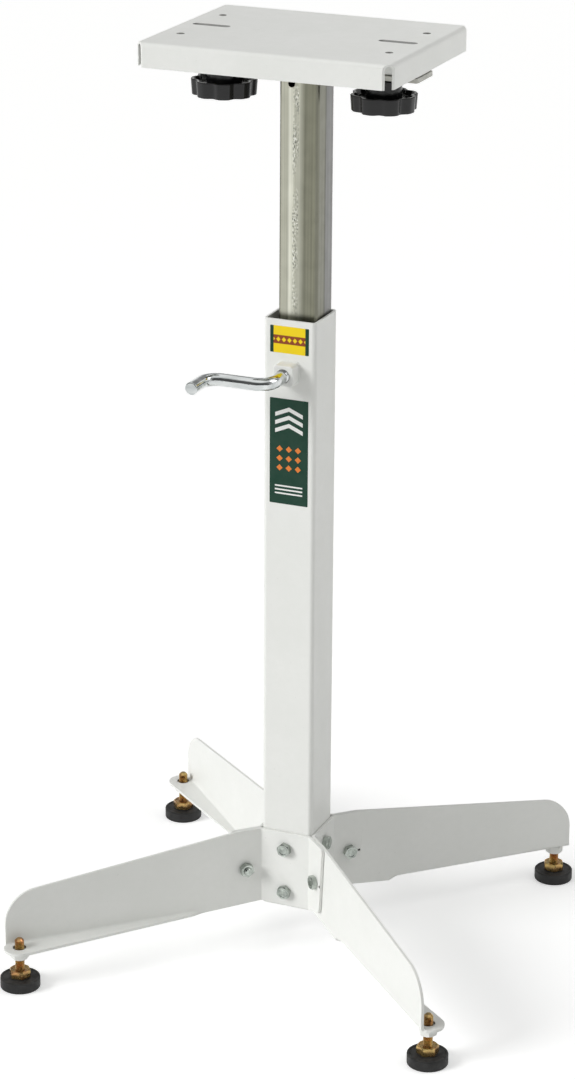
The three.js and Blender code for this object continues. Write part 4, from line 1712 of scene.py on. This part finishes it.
@dataclass
class Feet:
    """The levelling feet: a passivated stud with a hexagon seat, on a rubber pad."""

    finishes: Finishes
    count: int = 4
    stud: float = 4.75 * MM
    stud_tip: float = 0.55
    stud_break: float = 0.5 * MM
    pitch: float = 1.5875 * MM
    turns: Range = (15.0, 22.0)
    seat_flats: float = 19 * MM
    seat_height: float = 8 * MM
    seat_gap: float = 0.3 * MM
    seat_rim: float = 1.2 * MM
    seat_dish: float = 0.4 * MM
    seat_edge: float = 0.3 * MM
    pad_edge: float = 1.2 * MM
    pad_ease: float = 0.25 * MM
    rim: float = 2.2 * MM
    dish: float = 0.7 * MM
    dish_draft: float = 0.97
    boss: float = 11 * MM
    boss_rise: float = 0.6
    cup: float = 1.5

    def build(self) -> None:
        """Model the pads and the studs and copy them to all four feet."""
        numbers = range(1, self.count + 1)
        centres = {k: Matrix.Translation((*middle_of(f"foot_pad_{k}").xy, 0)) for k in numbers}
        pads = [(f"foot_rubber_{k}", f"foot_pad_{k}", centres[k]) for k in numbers]
        repeated(self.pad(), pads, self.finishes.rubber)
        first, step = self.turns
        studs = [(f"foot_screw_{k}", f"foot_stud_{k}", centres[k] @ turned(first + step * k))
                 for k in numbers]
        repeated(self.threaded(), studs, self.finishes.yellow)

    def pad(self) -> Piece:
        """Model a round pad with a raised rim, a low boss and a cupped sole.

        Returns:
            The pad, on the origin.
        """
        low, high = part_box("foot_pad_1")
        radius = (high.x - low.x) / 2
        pad = add_rod("pad", radius, low.z, high.z, 64)
        with picked(pad, Pick.FACES, facing(UP)):
            bpy.ops.mesh.inset(thickness=self.rim)
            push((0, 0, -self.dish))
            swell((self.dish_draft, self.dish_draft, 1), (0, 0, high.z))
            bpy.ops.mesh.inset(thickness=radius - self.rim - self.boss)
            push((0, 0, self.boss_rise * self.dish))
        with picked(pad, Pick.FACES, facing(DOWN)):
            bpy.ops.mesh.inset(thickness=2 * self.rim)
            push((0, 0, self.cup * self.dish))
        for level in (low.z, high.z):
            with picked(pad, Pick.EDGES, both(lying_at(Z, level), at_radius(radius - FINE, math.inf))):
                round_edges(self.pad_edge, 4)
        eased(pad, self.pad_ease, 2, 30)
        return polished(pad)

    def threaded(self) -> Piece:
        """Model a threaded stud that stands in its pad on a hexagon seat.

        Returns:
            The stud, on the origin.
        """
        low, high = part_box("foot_stud_1")
        seat_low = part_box("foot_pad_1")[1].z + self.seat_gap
        seat_top = seat_low + self.seat_height
        block = hexagon_block("stud", self.seat_flats, seat_low, seat_top)
        with picked(block, Pick.FACES, both(facing(UP), lying_at(Z, seat_top))):
            bpy.ops.mesh.inset(thickness=self.seat_rim)
            push((0, 0, -self.seat_dish))
        eased(block, self.seat_edge, 2, 25)
        rod = threaded_rod("rod", self.stud, seat_low + MM, high.z, self.pitch, self.stud * self.stud_tip)
        foot = add_rod("foot", self.stud, low.z, seat_low + MM, 32)
        eased(foot, self.stud_break)
        return polished(merged("stud", [block, rod, foot]))


@dataclass
class Lift:
    """The post with its cross bar, the channel and the table."""

    finishes: Finishes
    corner: float = 4 * MM
    wall: float = 2.5 * MM
    rim: float = 0.35 * MM
    hole: float = 3.5 * MM
    hole_offset: float = -4.2 * MM
    hole_drop: float = 11.5 * MM
    hole_reach: float = 6 * MM
    weld: float = 1.7 * MM
    weld_off: float = 0.2 * MM
    weld_drop: float = 0.5 * MM
    bar_corner: float = 3 * MM
    bar_edge: float = 0.5 * MM
    channel_sheet: float = 2.5 * MM
    channel_bend: float = 4.5 * MM
    sheet: float = 2 * MM
    bend: float = 5 * MM
    sheet_edge: float = 0.3 * MM
    corner_cut: float = 8.7 * MM
    corner_past: float = 5 * MM
    slot: Range = (75 * MM, 113 * MM)
    slot_width: float = 8.5 * MM
    slot_round: float = 0.99
    hole_x: float = 104 * MM
    hole_y: float = 48 * MM
    table_hole: float = 3.75 * MM
    cut_reach: float = 10 * MM
    stud_hole: float = 5.2 * MM

    def build(self) -> None:
        """Model and dress every piece."""
        self.build_post()
        self.build_bar()
        self.build_channel()
        self.build_table()

    def build_post(self) -> None:
        """The sliding tube with its cross hole, welded to the bar."""
        low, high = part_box("post")
        middle = middle_of("post")
        post = square_tube("post_tube", low, high, self.corner, self.wall, self.rim)
        drill = add_rod("drill", self.hole, -self.hole_reach, self.hole_reach, 32)
        place = at_place(self.hole_offset, low.y, high.z - self.hole_drop)
        carved(post, moved(drill, place @ turned(90, "X")))
        seat(polished(post), "post", self.finishes.post)
        bead = weld_bead("post_weld", (high.x - low.x) / 2 + self.weld_off, self.corner, self.weld,
                         at_place(middle.x, middle.y, high.z - self.weld_drop))
        seat(bead, "post", self.finishes.bar, stands_for=False)

    def build_bar(self) -> None:
        """The flat bar, bored for the knob studs."""
        low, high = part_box("table_bar")
        bar = add_block("cross_bar", low, high)
        with picked(bar, Pick.EDGES, upright):
            round_edges(self.bar_corner, 5)
        self.bore_for_knobs(bar, low.z, high.z)
        eased(bar, self.bar_edge)
        seat(polished(bar), "table_bar", self.finishes.bar)

    def bore_for_knobs(self, piece: Piece, low: float, high: float) -> None:
        """Cut the two holes that the knob studs pass through.

        Args:
            piece: The piece to bore.
            low: The underside of what is bored.
            high: Its upper side.
        """
        places = [middle_of(f"knob_stud_{side.value}") for side in Side]
        tools = [add_rod("drill", self.stud_hole, low - MM, high + MM, 32, place) for place in places]
        carved(piece, merged("drills", tools))

    def build_channel(self) -> None:
        """The folded channel under the table, open upwards and bored for the knob studs."""
        low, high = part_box("table_channel")
        channel = add_block("under_channel", low, high)
        with picked(channel, Pick.FACES, lambda face: face.normal.z > MOSTLY or abs(face.normal.x) > MOSTLY):
            bpy.ops.mesh.delete(type="FACE")
        with picked(channel, Pick.EDGES, both(lying_at(Z, low.z), running(X))):
            round_edges(self.channel_bend, 6)
        thickened(channel, self.channel_sheet, -1.0)
        self.bore_for_knobs(channel, low.z, low.z + self.channel_sheet)
        eased(channel, self.sheet_edge, 2, 50)
        seat(polished(channel), "table_channel", self.finishes.paint)

    def build_table(self) -> None:
        """The pressed pan with open corners, slots and holes."""
        low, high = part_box("table")
        pan = add_block("table_pan", low, high)
        with picked(pan, Pick.FACES, facing(DOWN)):
            bpy.ops.mesh.delete(type="FACE")
        with picked(pan, Pick.EDGES, lying_at(Z, high.z)):
            round_edges(self.bend, 6)
        thickened(pan, self.sheet, -1.0)
        carved(pan, self.corner_tools(low, high))
        dressed(pan, self.finishes.paint)
        # The slot walls take the grey paint as painted shade.
        carved(pan, dressed(self.slot_tools(high.z), self.finishes.slot_wall_shade))
        # The table's holes are lined with the grey metal, partly bare steel, partly painted shade.
        carved(pan, dressed(self.hole_tools(high.z), self.finishes.edge))
        eased(pan, self.sheet_edge, 2, 50)
        seat(polished(pan), "table")

    def corner_tools(self, low: Vector, high: Vector) -> Piece:
        """Model what is cut off at the table's corners, square to its diagonals.

        Args:
            low: The table's lowest corner.
            high: Its highest corner.

        Returns:
            One tool that cuts all four.
        """
        depth = self.corner_cut / ROOT_TWO
        tools = []
        for x, y in ((x, y) for x in (low.x, high.x) for y in (low.y, high.y)):
            tool = add_block("corner", (-depth, -depth, low.z - self.corner_past),
                             (depth, depth, high.z + self.corner_past))
            tools.append(moved(tool, at_place(x, y, 0) @ turned(45)))
        return merged("corners", tools)

    def slot_tools(self, top: float) -> Piece:
        """Model the table's two slots.

        Args:
            top: The table's top.

        Returns:
            One tool that cuts both.
        """
        middle = middle_of("table")
        half = self.slot_width / 2
        tools = []
        for way in (-1, 1):
            start, end = sorted(middle.x + way * x for x in self.slot)
            tool = add_block("slot", (start, middle.y - half, top - self.cut_reach),
                             (end, middle.y + half, top + self.cut_reach))
            with picked(tool, Pick.EDGES, upright):
                round_edges(half * self.slot_round, 8)
            tools.append(tool)
        return merged("slots", tools)

    def hole_tools(self, top: float) -> Piece:
        """Model the table's four holes.

        Args:
            top: The table's top.

        Returns:
            One tool that cuts them all.
        """
        middle = middle_of("table")
        places = [(middle.x + x, middle.y + y) for x in (-self.hole_x, self.hole_x)
                  for y in (-self.hole_y, self.hole_y)]
        return merged("holes", [add_rod("drill", self.table_hole, top - self.cut_reach, top + self.cut_reach,
                                        32, place) for place in places])


@dataclass
class Lock:
    """The bent crank screw and the shoe that it presses on the post."""

    finishes: Finishes
    rod: float = 6.35 * MM
    nose: float = 4 * MM
    nose_length: float = 2.8 * MM
    arm: float = -76 * MM
    bend: float = 16 * MM
    bend_steps: int = 12
    end_break: float = 1.1 * MM
    edge: float = 0.3 * MM
    pitch: float = 1.954 * MM
    thread_out: float = 5 * MM
    shoe_corner: float = 3 * MM
    dimple: float = 0.3 * MM
    dimple_slack: float = 0.4 * MM

    def build(self) -> None:
        """Model and dress the pieces."""
        self.build_crank()
        self.build_shoe()

    def build_crank(self) -> None:
        """A round bar bent twice, threaded through the boss, with a nose that bears on the shoe."""
        low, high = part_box("crank")
        height = middle_of("crank").z
        shoulder = high.y - self.nose_length
        thread_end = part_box("lock_nut")[0].y - self.thread_out
        neck = self.rod - THREAD_DEPTH * self.pitch
        handle = low.x + self.rod
        bpy.ops.object.select_all(action="DESELECT")
        bpy.ops.mesh.primitive_circle_add(vertices=32, radius=self.nose, fill_type="NGON",
                                          location=(0, high.y, height), rotation=(QUARTER, 0, 0))
        crank = settled("crank_rod")
        with picked(crank, Pick.FACES, everything):
            push((0, shoulder - high.y, 0))
            for start, end, grow in ((shoulder, thread_end, neck / self.nose),
                                     (thread_end, self.arm + self.bend, self.rod / neck)):
                push((0, 0, 0))
                swell((grow, 1, grow), (0, start, height))
                push((0, end - start, 0))
            swing(-QUARTER, (-self.bend, self.arm + self.bend, height), UP, self.bend_steps)
            push((handle + 2 * self.bend, 0, 0))
            swing(QUARTER, (handle + self.bend, self.arm - self.bend, height), UP, self.bend_steps)
            push((0, low.y - (self.arm - self.bend), 0))
        mended(crank)
        with picked(crank, Pick.EDGES, lying_at(Y, low.y)):
            round_edges(self.end_break, 3)
        eased(crank, self.edge, 2, 50)
        thread = threaded_rod("thread", self.rod, -shoulder, -thread_end, self.pitch, self.rod)
        moved(thread, at_place(0, 0, height) @ turned(90, "X"))
        seat(polished(merged("crank_rod", [crank, thread])), "crank", self.finishes.chrome)

    def build_shoe(self) -> None:
        """The pressed shoe, with a dimple for the screw's nose."""
        low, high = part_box("lock_shoe")
        middle = middle_of("lock_shoe")
        shoe = add_block("press_shoe", low, high)
        with picked(shoe, Pick.EDGES, running(Y)):
            round_edges(self.shoe_corner, 5)
        dimple = add_rod("dimple", self.nose + self.dimple_slack, -self.dimple, self.dimple, 24)
        carved(shoe, moved(dimple, at_place(middle.x, low.y, middle.z) @ turned(90, "X")))
        eased(shoe, self.edge)
        seat(polished(shoe), "lock_shoe", self.finishes.bar)


@dataclass
class Knobs:
    """The two lobed hand knobs with their studs, washers and nuts."""

    finishes: Finishes
    radius: float = 31.75 * MM
    lobes: int = 8
    steps: int = 14
    groove: float = 3.6 * MM
    groove_shares: Sequence[float] = (1.0, 0.93, 0.7, 0.34, 0.1)
    hub: float = 16.8 * MM
    hub_foot: float = 0.5 * MM
    hub_edge: float = 1.2 * MM
    hub_wall: float = 3 * MM
    hub_dish: float = 1.2 * MM
    wheel_height: float = 15.4 * MM
    wheel_edge: float = 0.9 * MM
    top_rim: float = 0.9
    foot_rim: float = 0.86
    taper: float = 0.965
    draft: float = 0.95
    dish: float = 5 * MM
    stud: float = 4.75 * MM
    stud_tip: float = 0.75
    stud_sunk: float = 4 * MM
    stud_break: float = 0.4 * MM
    pitch: float = 1.5875 * MM
    nut_flats: float = 14.3 * MM
    nut_grip: float = 0.3 * MM
    washer_hole: float = 5.3 * MM
    washer_edge: float = 0.25 * MM
    right_turn: float = 13.0

    def build(self) -> None:
        """Model one of each piece and copy it to both sides."""
        places = {Side.LEFT: turned(0), Side.RIGHT: turned(self.right_turn)}
        for side, turn in places.items():
            places[side] = Matrix.Translation((*middle_of(f"knob_stud_{side.value}").xy, 0)) @ turn
        for node, label, model, slot, finish in (
                ("knob", "hand_knob", self.knob(), "knob_plastic", self.finishes.plastic),
                ("knob_stud", "knob_screw", self.threaded(), "bright_zinc", self.finishes.bright),
                ("knob_washer", "knob_ring", self.washer(), "bright_zinc", self.finishes.bright),
                ("knob_nut", "knob_weld_nut", self.nut(), "bright_zinc", self.finishes.bright)):
            copies = [(f"{label}_{side.value}", f"{node}_{side.value}", place)
                      for side, place in places.items()]
            repeated(model, copies, finish)

    def knob(self) -> Piece:
        """Model the lobed wheel with a dished top, a hollow underside and a tall hub.

        Returns:
            The knob, on the origin.
        """
        low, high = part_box("knob_left")
        top = low.z + self.wheel_height
        count = self.lobes * self.steps
        wheel = add_rod("wheel", self.radius, low.z, top, count)
        for step, share in enumerate(self.groove_shares):
            near = (step % self.steps, -step % self.steps)
            in_groove = lambda point, near=near: round(
                math.atan2(point.co.y, point.co.x) / (2 * math.pi) * count) % self.steps in near
            scale = (self.radius - self.groove * share) / self.radius
            with picked(wheel, Pick.POINTS, in_groove):
                swell((scale, scale, 1), (0, 0, 0))
        with picked(wheel, Pick.POINTS, lying_at(Z, low.z)):
            swell((self.taper, self.taper, 1), (0, 0, low.z))
        for level, way, rim in ((top, 1, self.top_rim), (low.z, -1, self.foot_rim)):
            with picked(wheel, Pick.FACES, both(facing((0, 0, way)), lying_at(Z, level))):
                push((0, 0, 0))
                swell((rim, rim, 1), (0, 0, level))
                push((0, 0, -way * self.dish))
                swell((self.draft, self.draft, 1), (0, 0, level))
        eased(wheel, self.wheel_edge, 3, 45)
        hub_low = low.z + self.hub_foot
        hub = add_rod("hub", self.hub, hub_low, high.z, 64)
        with picked(hub, Pick.EDGES, lying_at(Z, high.z)):
            round_edges(self.hub_edge, 3)
        with picked(hub, Pick.FACES, both(facing(DOWN), lying_at(Z, hub_low))):
            bpy.ops.mesh.inset(thickness=self.hub_wall)
            push((0, 0, self.hub_dish))
        carved(wheel, hub, Carve.WELD)
        mended(wheel)
        return polished(wheel, 30)

    def threaded(self) -> Piece:
        """Model the stud moulded into the knob.

        Returns:
            The stud, on the origin.
        """
        low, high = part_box("knob_stud_left")
        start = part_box("knob_left")[1].z - self.stud_sunk
        rod = threaded_rod("stud", self.stud, start, high.z, self.pitch, self.stud * self.stud_tip)
        root = add_rod("root", self.stud, low.z, start, 24)
        eased(root, self.stud_break)
        return polished(merged("stud", [rod, root]))

    def washer(self) -> Piece:
        """A flat washer."""
        low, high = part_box("knob_washer_left")
        return polished(ring("washer", (high.x - low.x) / 2, self.washer_hole, low.z, high.z,
                             self.washer_edge))

    def nut(self) -> Piece:
        """The nut inside the channel."""
        low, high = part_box("knob_nut_left")
        return polished(hexagon_nut("nut", self.nut_flats, self.stud - self.nut_grip, low.z, high.z))


@dataclass
class Studio:
    """The floor, the light and the camera."""

    eye: Point = (1.1571, -2.7631, 1.5327)
    look: Point = (-0.3656, 0.8639, -0.3464)
    roll: float = 0.356
    lens: float = 108.4
    sensor: float = 36.0
    far: float = 200.0
    key_at: Point = (0.0, 0.0, 2.0)
    key_from: Point = (-0.62, -0.64, 0.45)
    key_power: float = 2.03
    key_angle: float = 28.0
    fill_at: Point = (1.1, 0.3, 1.5)
    fill_aim: Point = (0.1, 0.0, 0.85)
    fill_size: float = 0.7
    fill_power: float = 3.5
    sky: float = 0.4
    sky_tint: Colour = (0.985, 1.0, 0.955)
    sky_white: Range = (0.2, 0.8)
    dark_side: Sequence[float] = (-0.45, 0.1, 0.1, 1.0)
    wall: Sequence[float] = (0.2, 0.45, 1.0, 0.3)
    overhead: Range = (0.6, 0.82)
    floor_size: float = 60.0
    floor_colour: Colour = (0.92, 0.92, 0.92)
    floor_glow: float = 0.36

    def build(self) -> None:
        """Set the stage."""
        bpy.context.scene.view_settings.view_transform = "Standard"
        self.build_floor()
        self.build_sky()
        self.build_lamps()
        self.build_camera()

    @staticmethod
    def seen(w: Wiring, *kinds: str) -> Socket:
        """1 for rays from the camera, for passing ones and for those of other kinds.

        Args:
            w: The wiring.
            kinds: The other kinds of ray.

        Returns:
            The mask.
        """
        path = w.node("ShaderNodeLightPath").outputs
        mask = w.sum("MAXIMUM", path["Is Camera Ray"], path["Is Transmission Ray"])
        for kind in kinds:
            mask = w.sum("MAXIMUM", mask, path[kind])
        return mask

    def build_floor(self) -> None:
        """A plain pale floor that keeps its shadows."""
        bpy.ops.object.select_all(action="DESELECT")
        bpy.ops.mesh.primitive_plane_add(size=self.floor_size)
        floor = settled("studio_floor")
        material = bpy.data.materials.new("pale_floor")
        material.use_nodes = True
        material.node_tree.nodes.clear()
        w = Wiring(material.node_tree)
        matt = w.node("ShaderNodeBsdfDiffuse", {"Color": self.floor_colour})
        strength = w.times(self.seen(w, "Is Glossy Ray"), self.floor_glow)
        glow = w.node("ShaderNodeEmission", {"Strength": strength})
        shaders = w.node("ShaderNodeAddShader", {0: matt.outputs[0], 1: glow.outputs[0]})
        w.node("ShaderNodeOutputMaterial", {"Surface": shaders.outputs[0]})
        floor.data.materials.append(material)

    def build_sky(self) -> None:
        """An even pale room, white where it is seen; metal also mirrors its dim far side and upper wall."""
        world = bpy.data.worlds.new("studio_room")
        bpy.context.scene.world = world
        world.use_nodes = True
        world.node_tree.nodes.clear()
        w = Wiring(world.node_tree)
        axes = w.axes(w.node("ShaderNodeTexCoord").outputs["Generated"])
        seen = self.seen(w, "Is Glossy Ray")
        white = w.sum("MAXIMUM", seen, w.spread(axes["Z"], *self.sky_white))
        dim = w.sum("MINIMUM", w.spread(axes["Y"], *self.dark_side), w.spread(axes["Z"], *self.wall))
        mirrored = w.sum("MAXIMUM", dim, w.spread(axes["Z"], *self.overhead))
        glossy = w.node("ShaderNodeLightPath").outputs["Is Glossy Ray"]
        shown = w.sum("MAXIMUM", self.seen(w), w.times(glossy, mirrored))
        hidden = w.times(w.sum("SUBTRACT", 1.0, seen), self.sky)
        room = w.node("ShaderNodeBackground", {"Color": w.blend(white, self.sky_tint, WHITE),
                                               "Strength": w.sum("ADD", shown, hidden)})
        w.node("ShaderNodeOutputWorld", {"Surface": room.outputs[0]})

    def build_lamps(self) -> None:
        """A wide soft key from the left, in front and above, and a weak soft box at the upper right."""
        key = bpy.data.lights.new("soft_key", "SUN")
        key.energy = self.key_power
        key.angle = math.radians(self.key_angle)
        self.hang(key, self.key_at, self.key_from)
        fill = bpy.data.lights.new("soft_fill", "AREA")
        fill.energy = self.fill_power
        fill.size = self.fill_size
        self.hang(fill, self.fill_at, Vector(self.fill_at) - Vector(self.fill_aim))

    @staticmethod
    def hang(lamp: bpy.types.Light, at: Point, back: Point) -> None:
        """Place a lamp that isn't seen itself.

        Args:
            lamp: The lamp.
            at: Its place.
            back: The direction that it shines away from.
        """
        holder = bpy.data.objects.new(lamp.name, lamp)
        holder.location = at
        holder.rotation_euler = Vector(back).to_track_quat("Z", "Y").to_euler()
        holder.visible_glossy = lamp.type == "AREA"
        holder.visible_camera = False
        bpy.context.scene.collection.objects.link(holder)

    def build_camera(self) -> None:
        """The camera at the photograph's angle."""
        camera = bpy.data.cameras.new("camera")
        camera.lens = self.lens
        camera.sensor_width = self.sensor
        camera.clip_end = self.far
        holder = bpy.data.objects.new("camera", camera)
        ahead = Vector(self.look).normalized()
        right = ahead.cross(Vector(UP)).normalized()
        up = right.cross(ahead)
        tilt = math.radians(self.roll)
        across = math.cos(tilt) * right + math.sin(tilt) * up
        above = math.cos(tilt) * up - math.sin(tilt) * right
        turn = Matrix((across, above, -ahead)).transposed().to_4x4()
        holder.matrix_world = Matrix.Translation(self.eye) @ turn
        bpy.context.scene.collection.objects.link(holder)
        bpy.context.scene.camera = holder


def main() -> None:
    """Build the stand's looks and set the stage."""
    logging.basicConfig(level=logging.INFO, format="%(message)s")
    finishes = Finishes()
    for assembly in (Column(finishes), Legs(finishes), Feet(finishes), Lift(finishes), Lock(finishes),
                     Knobs(finishes), Studio()):
        assembly.build()
        LOG.info("built %s", type(assembly).__name__)


if __name__ == "__main__":
    main()
